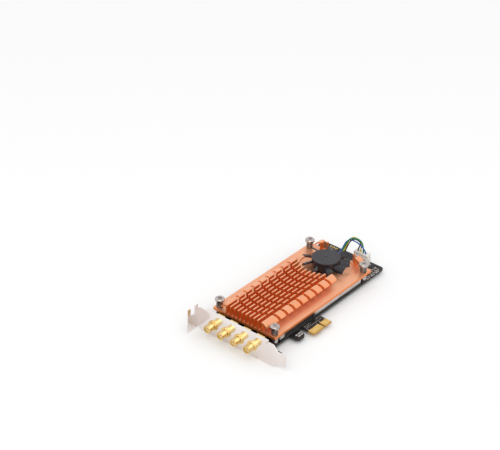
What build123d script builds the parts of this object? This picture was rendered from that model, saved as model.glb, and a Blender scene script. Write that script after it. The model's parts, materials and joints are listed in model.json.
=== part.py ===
from build123d import *
import math
import os

# A low-profile wireless network card, lying flat with its heat sink up.
# X runs from the bracket to the far end, Y from the contacts to the screw tab, Z up.
# The origin is the middle of the key notch, on the contact edge and the component face.
# All sizes are in millimetres.

# How far a cut runs past what it cuts
OVERSHOOT = 1.0

# Circuit board
BOARD_T = 1.57
BOARD_FRONT = -55.0
BOARD_LENGTH = 144.6
BOARD_EDGE_Y = 12.0
BOARD_WIDTH = 57.0
BOARD_CORNER = 2.5

# Contact tongue, key notch, ear and foot of the board
TONGUE_X0 = -12.15
TONGUE_X1 = 8.15
KEY_WIDTH = 1.9
KEY_DEPTH = 8.4
BEVEL_LENGTH = 0.6
BEVEL_DEPTH = 0.4
CONTACT_PITCH = 1.0
CONTACT_WIDTH = 0.7
CONTACT_LENGTH = 4.9
CONTACT_T = 0.06
CONTACTS_FRONT = 11
CONTACTS_BACK = 7
KEY_TO_CONTACT = 1.5
EAR_X0 = -25.6
EAR_X1 = -16.6
EAR_Y = 3.8
EAR_ROUND = 3.2
FOOT_LENGTH = 10.4
FOOT_Y = 3.4

# Bracket
BRACKET_X = -57.15
BRACKET_T = 0.86
BRACKET_LENGTH = 79.2
BRACKET_TOP_Y = 69.7
BRACKET_Z0 = -4.07
BRACKET_WIDTH = 18.42
TAIL_LENGTH = 11.2
TAIL_WIDTH = 10.19
TAIL_TAPER = 3.8
TAB_DEPTH = 11.9
TAB_Z0 = -1.4
TAB_WIDTH = 19.05
TAB_STEP = 1.3
NOTCH_WIDTH = 4.42
NOTCH_DEPTH = 6.6
NOTCH_FROM_FACE = 6.65
LIP_DEPTH = 2.7
LIP_Y0 = 7.7
LIP_Y1 = 63.4
BEND_ROUND = 1.1
RELIEF_WIDTH = 0.7
RELIEF_DEPTH = 1.6
EDGE_NOTCH_Y = 15.4
EDGE_NOTCH_WIDTH = 1.0
TAB_HOLE_R = 0.8
TAB_HOLE_INSET = 2.9

# Antenna jacks
JACK_COUNT = 4
JACK_PITCH = 11.9
JACK_ROW_Y = 37.85
JACK_Z = 4.8
JACK_REACH = 7.0
BARREL_R = 3.175
BARREL_CHAMFER = 0.4
BARREL_HOLE_GAP = 0.15
NECK_RELIEF = 0.375
MOUTH_R = 2.35
MOUTH_DEPTH = 1.8
INSULATOR_R = 2.05
INSULATOR_LENGTH = 5.0
PIN_R = 0.64
PIN_SETBACK = 0.6
JACK_BODY_WIDTH = 6.6
JACK_BODY_DEPTH = 9.2
JACK_BODY_ABOVE = 4.1
JACK_BODY_CHAMFER = 0.4
POST_SIDE = 1.2
POST_SPREAD = 2.54
POST_BELOW = 1.1
POST_HOLE_GAP = 0.05
NUT_FLATS = 7.0
NUT_T = 1.0
NUT_THREAD_GAP = 0.03
WASHER_R = 3.95
WASHER_T = 0.4

# Heat sink
SINK_FRONT_SETBACK = 13.0
SINK_BACK_SETBACK = 17.0
SINK_Z = 4.8
BASE_T = 2.0
BASE_CORNER = 0.8
FIN_COUNT = 10
FIN_T = 1.1
FIN_HEIGHT = 7.5
FIN_SIDE_MARGIN = 12.57
ROOF_REACH = 4.7
ROOF_DROP = 3.3
ROOF_T = 1.0
ROOF_ARCH = 0.8
ROOF_CLEAR = 14.1
CUT_FIRST = 7.05
CUT_PITCH = 8.43
CUT_GAP = 2.2
CUT_ARC_R = 25.0
SLOT_LEAN = 1.8
SLOT_FLARE = 0.2
SLOT_OVERLAP = 0.2
RECESS_DEPTH = 0.8
RECESS_MARGIN = 2.2

# Heat sink screws, springs and standoffs
SCREW_INSET_FRONT = 3.6
SCREW_INSET_BACK = 6.0
SCREW_INSET_SIDE = 3.3
SCREW_HEAD_R = 3.6
SCREW_HEAD_T = 2.1
SCREW_HEAD_CHAMFER = 0.7
SCREW_R = 1.45
SCREW_STAND = 7.5
SCREW_GAP = 0.05
SINK_HOLE_GAP = 0.35
RECESS_CROSS = 3.4
CROSS_WIDTH = 0.8
CROSS_DEPTH = 0.9
SPRING_R = 2.5
SPRING_WIRE = 0.55
STANDOFF_R = 2.75
SPIGOT_R = 2.1

# Fan
FAN_BACK_SETBACK = 19.1
FAN_R = 18.0
HUB_R = 10.75
HUB_H = 6.5
HUB_LIFT = 1.4
HUB_WALL = 1.0
HUB_CAP_T = 1.2
HUB_EDGE = 0.35
HUB_DIMPLE_R = 0.7
BLADE_COUNT = 9
BLADE_FIRST = -25.0
BLADE_T = 0.7
BLADE_CHORD = 7.6
BLADE_CAMBER = 1.1
BLADE_ROOT_PITCH = 47.0
BLADE_TIP_PITCH = 34.0
BLADE_SWEEP = 5.0
BLADE_DROP = 2.0
BLADE_EXTRA_ROOT = 2.5
BLADE_EXTRA_TIP = 1.5
POCKET_MARGIN = 3.3
ADHESIVE_T = 0.2
ADHESIVE_INSET = 0.4
FAN_BASE_R = 9.4
FAN_BASE_T = 0.6
DRIVER_R = 9.0
DRIVER_T = 0.5
HOUSING_R = 2.3
SLEEVE_R = 1.5
SHAFT_R = 0.75
SHAFT_GAP = 0.05
SHAFT_LIFT = 0.3
YOKE_T = 0.5
MAGNET_T = 1.4
AIR_GAP = 0.35
STATOR_ARMS = 4
STATOR_ARM_WIDTH = 1.8
STATOR_SHOE_T = 0.9
STATOR_H = 2.6
STATOR_LIFT = 1.1
STATOR_RING_T = 0.8
SHOE_SPREAD = 0.6
COIL_T = 0.6
WINDING_GAP = 0.1
END_GAP = 0.4

# Fan header, plug and wires
PLUG_PITCH = 2.5
PLUG_COUNT = 4
HEADER_WIDTH = 12.4
HEADER_DEPTH = 5.75
HEADER_H = 7.0
HEADER_WALL = 0.7
HEADER_FLOOR = 1.2
HEADER_BACK_SETBACK = 6.1
HEADER_OFFSET = 11.6
PLUG_GAP = 0.08
PLUG_TOP = 9.8
PLUG_RIM_GAP = 0.2
PIN_SIDE = 0.64
PIN_TOP = 6.2
PIN_BELOW = 0.9
WIRE_R = 0.5
WIRE_GAP = 0.05
WIRE_INTO_PLUG = 2.0
WIRE_ON_DRIVER = 0.8
WIRE_PITCH = 1.5
WIRE_STAGGER = 1.0
WIRE_BEHIND_SINK = 3.3
WIRE_CHANNEL = 12.0
WIRE_PEAKS = {"blue": 18.0, "green": 21.2, "yellow": 22.8, "black": 19.6}

# Radio module with its socket, and the shield can beside it
SOCKET_X0 = -30.0
SOCKET_LENGTH = 33.2
SOCKET_DEPTH = 7.6
SOCKET_H = 4.0
EDGE_INSET = 0.7
MODULE_WIDTH = 30.0
MODULE_LENGTH = 50.9
MODULE_T = 1.0
MODULE_Z = 1.7
MODULE_INTO_SOCKET = 3.0
MODULE_BACK_GAP = 0.1
MODULE_SHIELD_H = 1.3
MODULE_SHIELD_MARGIN = 2.0
MODULE_SHIELD_FRONT = 1.0
MODULE_SHIELD_BACK = 6.0
MODULE_SCREW_R = 0.9
MODULE_SCREW_HEAD_R = 1.9
MODULE_POST_R = 2.0
MODULE_POST_INSET = 2.6
MODULE_SCREW_HEAD_T = 0.9
MODULE_SCREW_Z = 0.2
CAN_X0 = 4.3
CAN_LENGTH = 57.0
CAN_SIDE_MARGIN = 1.0
CAN_FAR_MARGIN = 3.0
CAN_H = 4.2
CAN_WALL = 0.3
PAD_MARGIN = 2.0

# Chips and small components
CHIP_SIDE = 13.0
CHIP_H = 1.2
CHIP_FROM_CAN = 25.65
SMALL_CHIP_SIDE = 4.0
SMALL_CHIP_H = 0.85
SMALL_CHIP_COUNT = 4
SMALL_CHIP_PITCH = 10.0
SMALL_CHIP_FROM_CAN = 8.55
REGULATOR_X0 = -35.0
REGULATOR_LENGTH = 4.6
REGULATOR_DEPTH = 6.0
REGULATOR_H = 1.2
INDUCTOR_SIDE = 5.0
INDUCTOR_H = 3.0
INDUCTOR_GAP = 2.0
INDUCTOR_FROM_FAN = (7.0, 14.0)
PARTS_FROM_SINK = 2.5
CAP_SIZE = (1.6, 0.8, 0.8)
CAP_GRID = (4, 2)
CAP_PITCH = (3.0, 2.2)
CAP_INSET = 2.0
RESISTOR_SIZE = (1.0, 0.5, 0.35)
RESISTOR_GRID = (3, 2)
RESISTOR_PITCH = (1.9, 1.3)
RESISTOR_INSET = 6.6
HOLE_RING_R = 0.95
HOLE_R = 0.5
HOLE_PITCH = 2.54
HOLE_COUNT = 3
HOLE_RING_T = 0.06
HOLE_EDGE_GAP = 2.54
HOLE_FROM_TAB_SIDE = 8.89

# Places that follow from the sizes
BOARD_BACK = BOARD_FRONT + BOARD_LENGTH
BOARD_TOP_Y = BOARD_EDGE_Y + BOARD_WIDTH
SINK_X0 = BOARD_FRONT + SINK_FRONT_SETBACK
SINK_X1 = BOARD_BACK - SINK_BACK_SETBACK
SINK_MID_Y = BOARD_EDGE_Y + BOARD_WIDTH / 2
BASE_TOP = SINK_Z + BASE_T
FIN_TOP = BASE_TOP + FIN_HEIGHT
FIN_FIELD = BOARD_WIDTH - 2 * FIN_SIDE_MARGIN
FIN_PITCH = FIN_FIELD / (FIN_COUNT - 1)
FIN_REACH = FIN_FIELD / 2 + FIN_T / 2
RECESS_Z = BASE_TOP - RECESS_DEPTH
FAN_X = SINK_X1 - FAN_BACK_SETBACK
FAN_Y = SINK_MID_Y
POCKET_R = FAN_R + POCKET_MARGIN
BRACKET_Z1 = BRACKET_Z0 + BRACKET_WIDTH
BRACKET_BACK = BRACKET_X + BRACKET_T
TAIL_Y = BRACKET_TOP_Y - BRACKET_LENGTH
MOUTH_X = BRACKET_X - JACK_REACH
NUT_BACK = BRACKET_X - WASHER_T
NUT_FRONT = NUT_BACK - NUT_T
NECK_R = BARREL_R - NECK_RELIEF
FAN_BASE_Z = RECESS_Z + ADHESIVE_T
DRIVER_Z = FAN_BASE_Z + FAN_BASE_T
DRIVER_TOP = DRIVER_Z + DRIVER_T
HUB_BOTTOM = DRIVER_TOP + HUB_LIFT
HUB_TOP = HUB_BOTTOM + HUB_H
CAP_UNDER = HUB_TOP - HUB_CAP_T
YOKE_R = HUB_R - HUB_WALL
STATOR_Z = DRIVER_TOP + STATOR_LIFT
HEADER_X = BOARD_BACK - HEADER_BACK_SETBACK
HEADER_Y = SINK_MID_Y - HEADER_OFFSET
WIRE_Z = DRIVER_TOP + WIRE_R
MODULE_TOP = MODULE_Z + MODULE_T
MODULE_X0 = SOCKET_X0 + (SOCKET_LENGTH - MODULE_WIDTH) / 2
SOCKET_Y0 = BOARD_EDGE_Y + EDGE_INSET
SOCKET_Y1 = SOCKET_Y0 + SOCKET_DEPTH
MODULE_Y0 = SOCKET_Y1 - MODULE_INTO_SOCKET
MODULE_Y1 = min(MODULE_Y0 + MODULE_LENGTH, BOARD_TOP_Y - MODULE_BACK_GAP)

LOW = (Align.CENTER, Align.CENTER, Align.MIN)


def block(x0, x1, y0, y1, z0, z1):
    """Box between two opposite corners."""
    return Pos(x0, y0, z0) * Box(x1 - x0, y1 - y0, z1 - z0, align=(Align.MIN,) * 3)


def rod(x, y, z0, z1, radius):
    """Upright cylinder."""
    return Pos(x, y, z0) * Cylinder(radius, z1 - z0, align=LOW)


def peg(x, y, z0, z1, side):
    """Upright square bar."""
    return Pos(x, y, z0) * Box(side, side, z1 - z0, align=LOW)


def ring(x, y, z0, z1, outer, inner):
    """Upright tube."""
    return rod(x, y, z0, z1, outer) - rod(x, y, z0, z1, inner)


def bar(x0, x1, y, z, radius):
    """Cylinder lying along X."""
    return Pos(x0, y, z) * Rot(0, 90, 0) * Cylinder(radius, x1 - x0, align=LOW)


def rise(face, z0, z1):
    """Outline in plan pulled up between two heights."""
    return Pos(0, 0, z0) * extrude(face, z1 - z0, dir=(0, 0, 1))


def run(face, x0, x1):
    """Outline seen from the end (Y across, Z up) pulled along X."""
    return Pos(x0, 0, 0) * extrude(Plane.YZ * face, x1 - x0, dir=(1, 0, 0))


def edges_along(shape, axis, x=None, y=None, z=None):
    """Straight edges along an axis whose middle has the given coordinates."""
    found = ShapeList()
    for edge in shape.edges().filter_by(axis):
        middle = edge.center()
        pairs = ((x, middle.X), (y, middle.Y), (z, middle.Z))
        if all(want is None or abs(want - has) < 1e-4 for want, has in pairs):
            found.append(edge)
    return found


def group(solids):
    """Separate solids kept together in one node."""
    return Compound(children=list(solids))


def screw_places():
    """Plan positions of the four heat sink screws."""
    xs = (SINK_X0 + SCREW_INSET_FRONT, SINK_X1 - SCREW_INSET_BACK)
    ys = (BOARD_EDGE_Y + SCREW_INSET_SIDE, BOARD_TOP_Y - SCREW_INSET_SIDE)
    return [(x, y) for x in xs for y in ys]


def jack_rows():
    """Y positions of the antenna jacks, from the screw tab down."""
    start = JACK_ROW_Y + JACK_PITCH * (JACK_COUNT - 1) / 2
    return [start - JACK_PITCH * i for i in range(JACK_COUNT)]


def jack_posts(y):
    """Plan positions of the solder posts of the jack at y."""
    x = BRACKET_BACK + JACK_BODY_DEPTH / 2
    return [(x + POST_SPREAD * i, y + POST_SPREAD * j) for i in (-1, 1) for j in (-1, 1)]


def plug_rows():
    """Y positions of the plug ways, from the screw tab side down."""
    start = HEADER_Y + PLUG_PITCH * (PLUG_COUNT - 1) / 2
    return [start - PLUG_PITCH * i for i in range(PLUG_COUNT)]


def ring_places():
    """Plan positions of the empty plated holes at the far edge."""
    x = BOARD_BACK - HOLE_EDGE_GAP
    start = BOARD_TOP_Y - HOLE_FROM_TAB_SIDE
    return [(x, start - HOLE_PITCH * i) for i in range(HOLE_COUNT)]


def module_posts():
    """Plan positions of the two posts that hold the radio module."""
    y = MODULE_Y1 - MODULE_POST_INSET
    xs = (MODULE_X0 + MODULE_POST_INSET, MODULE_X0 + MODULE_WIDTH - MODULE_POST_INSET)
    return [(x, y) for x in xs]


def contact_places():
    """X positions of the contacts on both sides of the key."""
    front = [-KEY_TO_CONTACT - CONTACT_PITCH * i for i in range(CONTACTS_FRONT)]
    back = [KEY_TO_CONTACT + CONTACT_PITCH * i for i in range(CONTACTS_BACK)]
    return front + back


def circuit_board():
    """Board with its contact tongue, ear, foot and plated holes."""
    mid = ((BOARD_FRONT + BOARD_BACK) / 2, (BOARD_EDGE_Y + BOARD_TOP_Y) / 2)
    face = Pos(*mid) * RectangleRounded(BOARD_LENGTH, BOARD_WIDTH, BOARD_CORNER)
    shape = rise(face, -BOARD_T, 0)
    inner = BOARD_EDGE_Y + 2 * BOARD_CORNER
    shape += block(TONGUE_X0, TONGUE_X1, 0, inner, -BOARD_T, 0)
    shape += block(BOARD_FRONT, BOARD_FRONT + FOOT_LENGTH, FOOT_Y, inner, -BOARD_T, 0)
    ear = RectangleRounded(EAR_X1 - EAR_X0, inner - EAR_Y, EAR_ROUND)
    shape += rise(Pos((EAR_X0 + EAR_X1) / 2, (EAR_Y + inner) / 2) * ear, -BOARD_T, 0)
    key = block(-KEY_WIDTH / 2, KEY_WIDTH / 2, -OVERSHOOT, KEY_DEPTH - KEY_WIDTH / 2, -BOARD_T, 0)
    key += rod(0, KEY_DEPTH - KEY_WIDTH / 2, -BOARD_T, 0, KEY_WIDTH / 2)
    shape -= key
    for z, depth in ((0, -BEVEL_DEPTH), (-BOARD_T, BEVEL_DEPTH)):
        wedge = Polygon((0, z), (BEVEL_LENGTH, z), (0, z + depth), align=None)
        shape -= run(wedge, TONGUE_X0, TONGUE_X1)
    holes = [rod(x, y, -BOARD_T, 0, SPIGOT_R) for x, y in screw_places()]
    for row in jack_rows():
        holes += [peg(x, y, -BOARD_T, 0, POST_SIDE + POST_HOLE_GAP) for x, y in jack_posts(row)]
    holes += [peg(HEADER_X, y, -BOARD_T, 0, PIN_SIDE + POST_HOLE_GAP) for y in plug_rows()]
    holes += [rod(x, y, -BOARD_T, 0, HOLE_R) for x, y in ring_places()]
    return shape - holes


def contacts(z):
    """Row of gold contacts on one face of the tongue."""
    y1 = BEVEL_LENGTH + CONTACT_LENGTH
    half = CONTACT_WIDTH / 2
    return group(block(x - half, x + half, BEVEL_LENGTH, y1, z, z + CONTACT_T) for x in contact_places())


def io_bracket():
    """Folded steel bracket with screw tab, stiffening lip and tail."""
    z_mid = BRACKET_Z0 + BRACKET_WIDTH / 2
    tail_y = TAIL_Y + TAIL_LENGTH - TAIL_TAPER
    wide_y = TAIL_Y + TAIL_LENGTH
    outline = Polygon(
        (BRACKET_TOP_Y, BRACKET_Z0), (wide_y, BRACKET_Z0),
        (tail_y, z_mid - TAIL_WIDTH / 2), (TAIL_Y, z_mid - TAIL_WIDTH / 2),
        (TAIL_Y, z_mid + TAIL_WIDTH / 2), (tail_y, z_mid + TAIL_WIDTH / 2),
        (wide_y, BRACKET_Z1), (BRACKET_TOP_Y, BRACKET_Z1), align=None)
    outline = fillet(outline.vertices().filter_by(lambda v: v.X < BRACKET_TOP_Y - 1), BEND_ROUND)
    shape = run(outline, BRACKET_X, BRACKET_BACK)
    tab_x = BRACKET_X - TAB_DEPTH
    tab_y = BRACKET_TOP_Y - BRACKET_T
    tab_z1 = TAB_Z0 + TAB_WIDTH
    tab = block(tab_x, BRACKET_BACK, tab_y, BRACKET_TOP_Y, TAB_Z0, tab_z1)
    tab -= block(BRACKET_X - TAB_STEP, BRACKET_BACK, tab_y, BRACKET_TOP_Y, BRACKET_Z1, tab_z1)
    notch_x = BRACKET_X - NOTCH_FROM_FACE
    notch_z = tab_z1 - NOTCH_DEPTH + NOTCH_WIDTH / 2
    half = NOTCH_WIDTH / 2
    tab -= block(notch_x - half, notch_x + half, tab_y, BRACKET_TOP_Y, notch_z, tab_z1)
    tab -= Pos(notch_x, BRACKET_TOP_Y, notch_z) * Rot(90, 0, 0) * Cylinder(half, BRACKET_T, align=LOW)
    hole = Rot(90, 0, 0) * Cylinder(TAB_HOLE_R, BRACKET_T, align=LOW)
    tab -= Pos(tab_x + TAB_HOLE_INSET, BRACKET_TOP_Y, TAB_Z0 + TAB_HOLE_INSET) * hole
    relief = tab_y - BEND_ROUND / 2
    shape -= block(BRACKET_X, BRACKET_BACK, relief, BRACKET_TOP_Y, BRACKET_Z0, TAB_Z0)
    shape += tab
    shape += block(BRACKET_X, BRACKET_X + LIP_DEPTH, LIP_Y0, LIP_Y1, BRACKET_Z1 - BRACKET_T, BRACKET_Z1)
    cut_y = LIP_Y0 - RELIEF_WIDTH
    shape -= block(BRACKET_X, BRACKET_BACK, cut_y, LIP_Y0, BRACKET_Z1 - RELIEF_DEPTH, BRACKET_Z1)
    notch_y = EDGE_NOTCH_Y + EDGE_NOTCH_WIDTH
    shape -= block(BRACKET_X, BRACKET_BACK, EDGE_NOTCH_Y, notch_y, BRACKET_Z0, BRACKET_Z0 + RELIEF_DEPTH)
    for y in jack_rows():
        shape -= bar(BRACKET_X, BRACKET_BACK, y, JACK_Z, BARREL_R + BARREL_HOLE_GAP)
    r = BEND_ROUND
    corner = block(BRACKET_BACK - r, BRACKET_BACK, BRACKET_TOP_Y - r, BRACKET_TOP_Y, TAB_Z0, BRACKET_Z1)
    shape -= corner - rod(BRACKET_BACK - r, BRACKET_TOP_Y - r, TAB_Z0, BRACKET_Z1, r)
    r = BRACKET_T
    corner = block(BRACKET_X, BRACKET_X + r, LIP_Y0, LIP_Y1, BRACKET_Z1 - r, BRACKET_Z1)
    bend = Pos(BRACKET_X + r, LIP_Y1, BRACKET_Z1 - r) * Rot(90, 0, 0) * Cylinder(r, LIP_Y1 - LIP_Y0, align=LOW)
    return shape - (corner - bend)


def antenna_jack(y):
    """Right-angle jack: block on the board, threaded barrel, solder posts."""
    back = BRACKET_BACK + JACK_BODY_DEPTH
    half = JACK_BODY_WIDTH / 2
    shape = block(BRACKET_BACK, back, y - half, y + half, 0, JACK_Z + JACK_BODY_ABOVE)
    shape = chamfer(edges_along(shape, Axis.Y, x=back, z=JACK_Z + JACK_BODY_ABOVE), JACK_BODY_CHAMFER)
    barrel = bar(MOUTH_X, NUT_FRONT, y, JACK_Z, BARREL_R)
    shape += chamfer(barrel.edges().group_by(Axis.X)[0], BARREL_CHAMFER)
    shape += bar(NUT_FRONT, BRACKET_BACK, y, JACK_Z, NECK_R)
    shape -= bar(MOUTH_X, MOUTH_X + MOUTH_DEPTH, y, JACK_Z, MOUTH_R)
    shape -= bar(MOUTH_X, MOUTH_X + MOUTH_DEPTH + INSULATOR_LENGTH, y, JACK_Z, INSULATOR_R)
    for post in jack_posts(y):
        shape += peg(*post, -BOARD_T - POST_BELOW, 0, POST_SIDE)
    return shape


def jack_insulator(y):
    """White sleeve round the centre pin of a jack."""
    x0 = MOUTH_X + MOUTH_DEPTH
    shape = bar(x0, x0 + INSULATOR_LENGTH, y, JACK_Z, INSULATOR_R)
    return shape - bar(x0, x0 + INSULATOR_LENGTH, y, JACK_Z, PIN_R)


def jack_pin(y):
    """Centre pin of a jack."""
    return bar(MOUTH_X + PIN_SETBACK, MOUTH_X + MOUTH_DEPTH + INSULATOR_LENGTH, y, JACK_Z, PIN_R)


def jack_washer(y):
    """Lock washer against the bracket."""
    outer = bar(NUT_BACK, BRACKET_X, y, JACK_Z, WASHER_R)
    return outer - bar(NUT_BACK, BRACKET_X, y, JACK_Z, BARREL_R + BARREL_HOLE_GAP)


def jack_nut(y):
    """Hexagon nut that pulls the jack against the bracket."""
    hexagon = RegularPolygon(NUT_FLATS / 2, 6, major_radius=False)
    shape = Pos(NUT_FRONT, y, JACK_Z) * Rot(0, 90, 0) * extrude(hexagon, NUT_T)
    return shape - bar(NUT_FRONT, NUT_BACK, y, JACK_Z, NECK_R + NUT_THREAD_GAP)


def arc_depth(reach):
    """How far a cut has bent back towards the fan at a distance from the middle."""
    return CUT_ARC_R - math.sqrt(CUT_ARC_R ** 2 - reach ** 2)


def fin_cut():
    """One curved cut across the walls, with a flared slot through each roof."""
    reach = FIN_REACH
    depth = arc_depth(reach)
    half = CUT_GAP / 2
    front = ThreePointArc((depth - half, -reach), (-half, 0), (depth - half, reach))
    back = ThreePointArc((depth + half, -reach), (half, 0), (depth + half, reach))
    sides = [Line(front @ 0, back @ 0), Line(front @ 1, back @ 1)]
    shape = rise(make_face([front, back] + sides), 0, 2 * FIN_HEIGHT)
    outer = reach + ROOF_REACH + OVERSHOOT
    lean = depth + SLOT_LEAN
    wide = half + SLOT_FLARE
    inner = reach - SLOT_OVERLAP
    slot = Polygon((depth - half, inner), (depth + half, inner),
                   (lean + wide, outer), (lean - wide, outer), align=None)
    slot = rise(slot, 0, 2 * FIN_HEIGHT)
    shape += slot
    shape += mirror(slot, Plane.XZ)
    return shape


def arched(start, end):
    """Arc from the ridge of a roof to its outer edge, raised in the middle."""
    middle = ((start[0] + end[0]) / 2, (start[1] + end[1]) / 2 + ROOF_ARCH)
    return ThreePointArc(start, middle, end)


def fin_roof():
    """Arched arm that hangs outward from the top of an outer wall."""
    y0 = FIN_FIELD / 2 - FIN_T / 2
    y1 = y0 + FIN_T + ROOF_REACH
    inner = FIN_TOP - FIN_T / 2
    upper = arched((y0 + FIN_T / 2, FIN_TOP), (y1, FIN_TOP - ROOF_DROP))
    lower = arched((y0 + FIN_T, inner - ROOF_T), (y1 - ROOF_T / 2, FIN_TOP - ROOF_DROP - ROOF_T))
    ridge = Polyline(lower @ 0, (y0, inner), upper @ 0)
    face = make_face([upper, Line(upper @ 1, lower @ 1), lower, ridge])
    return Pos(0, SINK_MID_Y, 0) * run(face, SINK_X0, SINK_X1)


def heat_sink():
    """Finned plate: long walls, hanging side roofs, curved cuts and the fan pocket."""
    mid_x = (SINK_X0 + SINK_X1) / 2
    plate = RectangleRounded(SINK_X1 - SINK_X0, BOARD_WIDTH, BASE_CORNER)
    plate = rise(Pos(mid_x, SINK_MID_Y) * plate, SINK_Z, BASE_TOP)
    first = SINK_MID_Y - FIN_FIELD / 2 - FIN_T / 2
    fins = []
    for i in range(FIN_COUNT):
        y = first + FIN_PITCH * i
        top = FIN_TOP - FIN_T / 2 if i in (0, FIN_COUNT - 1) else FIN_TOP
        fins.append(block(SINK_X0, SINK_X1, y, y + FIN_T, BASE_TOP, top))
    roof = fin_roof()
    middle = Plane.XZ.offset(-SINK_MID_Y)
    fins += [roof, mirror(roof, middle)]
    above = FIN_TOP + OVERSHOOT
    half = WIRE_CHANNEL / 2
    cuts = [rod(FAN_X, FAN_Y, BASE_TOP, above, POCKET_R)]
    cuts.append(block(FAN_X, SINK_X1, FAN_Y - half, FAN_Y + half, BASE_TOP, above))
    beside = SINK_MID_Y + FIN_REACH
    clear = block(FAN_X - ROOF_CLEAR, FAN_X + ROOF_CLEAR, beside - FIN_T, beside + ROOF_REACH + OVERSHOOT,
                  BASE_TOP, above)
    cuts += [clear, mirror(clear, middle)]
    start = SINK_X0 + CUT_FIRST
    count = int((FAN_X - POCKET_R - start) / CUT_PITCH) + 1
    cut = fin_cut()
    cuts += [Pos(start + CUT_PITCH * i, SINK_MID_Y, BASE_TOP) * cut for i in range(count)]
    walls = Part() + fins - cuts
    plate -= rod(FAN_X, FAN_Y, RECESS_Z, BASE_TOP, FAN_R + RECESS_MARGIN)
    plate -= [rod(x, y, SINK_Z, BASE_TOP, SCREW_R + SINK_HOLE_GAP) for x, y in screw_places()]
    return plate + walls


def sink_screw(x, y):
    """Spring screw with a cross recess."""
    top = BASE_TOP + SCREW_STAND
    head = rod(x, y, top - SCREW_HEAD_T, top, SCREW_HEAD_R)
    head = chamfer(head.edges().group_by(Axis.Z)[-1], SCREW_HEAD_CHAMFER)
    shape = head + rod(x, y, -BOARD_T / 2, top - SCREW_HEAD_T, SCREW_R)
    long, short = RECESS_CROSS / 2, CROSS_WIDTH / 2
    shape -= block(x - long, x + long, y - short, y + short, top - CROSS_DEPTH, top)
    return shape - block(x - short, x + short, y - long, y + long, top - CROSS_DEPTH, top)


def screw_spring(x, y):
    """Room taken by the coil spring under a screw head."""
    return ring(x, y, BASE_TOP, BASE_TOP + SCREW_STAND - SCREW_HEAD_T, SPRING_R, SPRING_R - SPRING_WIRE)


def screw_standoff(x, y):
    """Threaded standoff soldered into the board."""
    shape = rod(x, y, 0, SINK_Z, STANDOFF_R) + rod(x, y, -BOARD_T, 0, SPIGOT_R)
    return shape - rod(x, y, -BOARD_T, SINK_Z, SCREW_R + SCREW_GAP)


def module_socket():
    """Black edge socket of the radio module."""
    shape = block(SOCKET_X0, SOCKET_X0 + SOCKET_LENGTH, SOCKET_Y0, SOCKET_Y1, 0, SOCKET_H)
    x1 = MODULE_X0 + MODULE_WIDTH
    return shape - block(MODULE_X0, x1, MODULE_Y0, SOCKET_Y1, MODULE_Z, SOCKET_H)


def module_board():
    """Board of the radio module, held down at its back edge."""
    shape = block(MODULE_X0, MODULE_X0 + MODULE_WIDTH, MODULE_Y0, MODULE_Y1, MODULE_Z, MODULE_TOP)
    return shape - [rod(x, y, MODULE_Z, MODULE_TOP, MODULE_SCREW_R + SCREW_GAP) for x, y in module_posts()]


def module_shield_box():
    """Plan limits of the shield of the radio module."""
    y1 = MODULE_Y1 - MODULE_SHIELD_BACK
    x0 = MODULE_X0 + MODULE_SHIELD_MARGIN
    x1 = MODULE_X0 + MODULE_WIDTH - MODULE_SHIELD_MARGIN
    return x0, x1, SOCKET_Y1 + MODULE_SHIELD_FRONT, y1


def can(x0, x1, y0, y1, z0, z1):
    """Sheet metal box open at the bottom."""
    w = CAN_WALL
    shape = block(x0, x1, y0, y1, z0, z1)
    shape = fillet(shape.edges().filter_by(Axis.Z), 2 * w)
    return shape - block(x0 + w, x1 - w, y0 + w, y1 - w, z0, z1 - w)


def module_post(x, y):
    """Threaded post under the back edge of the radio module."""
    return ring(x, y, 0, MODULE_Z, MODULE_POST_R, MODULE_SCREW_R + SCREW_GAP)


def module_screw(x, y):
    """Low screw that holds the radio module."""
    shape = rod(x, y, MODULE_TOP, MODULE_TOP + MODULE_SCREW_HEAD_T, MODULE_SCREW_HEAD_R)
    return shape + rod(x, y, MODULE_SCREW_Z, MODULE_TOP, MODULE_SCREW_R)


def can_box():
    """Plan limits of the large shield can."""
    y0 = BOARD_EDGE_Y + CAN_SIDE_MARGIN
    return CAN_X0, CAN_X0 + CAN_LENGTH, y0, BOARD_TOP_Y - CAN_FAR_MARGIN


def pad(box, z0):
    """Soft pad that fills the room up to the heat sink."""
    x0, x1, y0, y1 = box
    m = PAD_MARGIN
    return block(x0 + m, x1 - m, y0 + m, y1 - m, z0, SINK_Z)


def radio_chip():
    """Main radio chip under the can."""
    x = CAN_X0 + CHIP_FROM_CAN
    h = CHIP_SIDE / 2
    return block(x - h, x + h, SINK_MID_Y - h, SINK_MID_Y + h, 0, CHIP_H)


def frontend_chips():
    """Four amplifier chips towards the antenna jacks."""
    x = CAN_X0 + SMALL_CHIP_FROM_CAN
    h = SMALL_CHIP_SIDE / 2
    first = SINK_MID_Y - SMALL_CHIP_PITCH * (SMALL_CHIP_COUNT - 1) / 2
    rows = [first + SMALL_CHIP_PITCH * i for i in range(SMALL_CHIP_COUNT)]
    return group(block(x - h, x + h, y - h, y + h, 0, SMALL_CHIP_H) for y in rows)


def regulator_block(z0, z1):
    """Regulator chip or the pad on top of it, at the board edge."""
    y0 = BOARD_EDGE_Y + EDGE_INSET
    return block(REGULATOR_X0, REGULATOR_X0 + REGULATOR_LENGTH, y0, y0 + REGULATOR_DEPTH, z0, z1)


def fan_base():
    """Disc on the heat sink with the bearing housing in its middle."""
    shape = rod(FAN_X, FAN_Y, FAN_BASE_Z, DRIVER_Z, FAN_BASE_R)
    return shape + ring(FAN_X, FAN_Y, DRIVER_Z, CAP_UNDER - 2 * END_GAP - YOKE_T, HOUSING_R, SLEEVE_R)


def stator_radius():
    """Outer radius of the stator, inside the magnet."""
    return YOKE_R - YOKE_T - MAGNET_T - AIR_GAP


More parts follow.
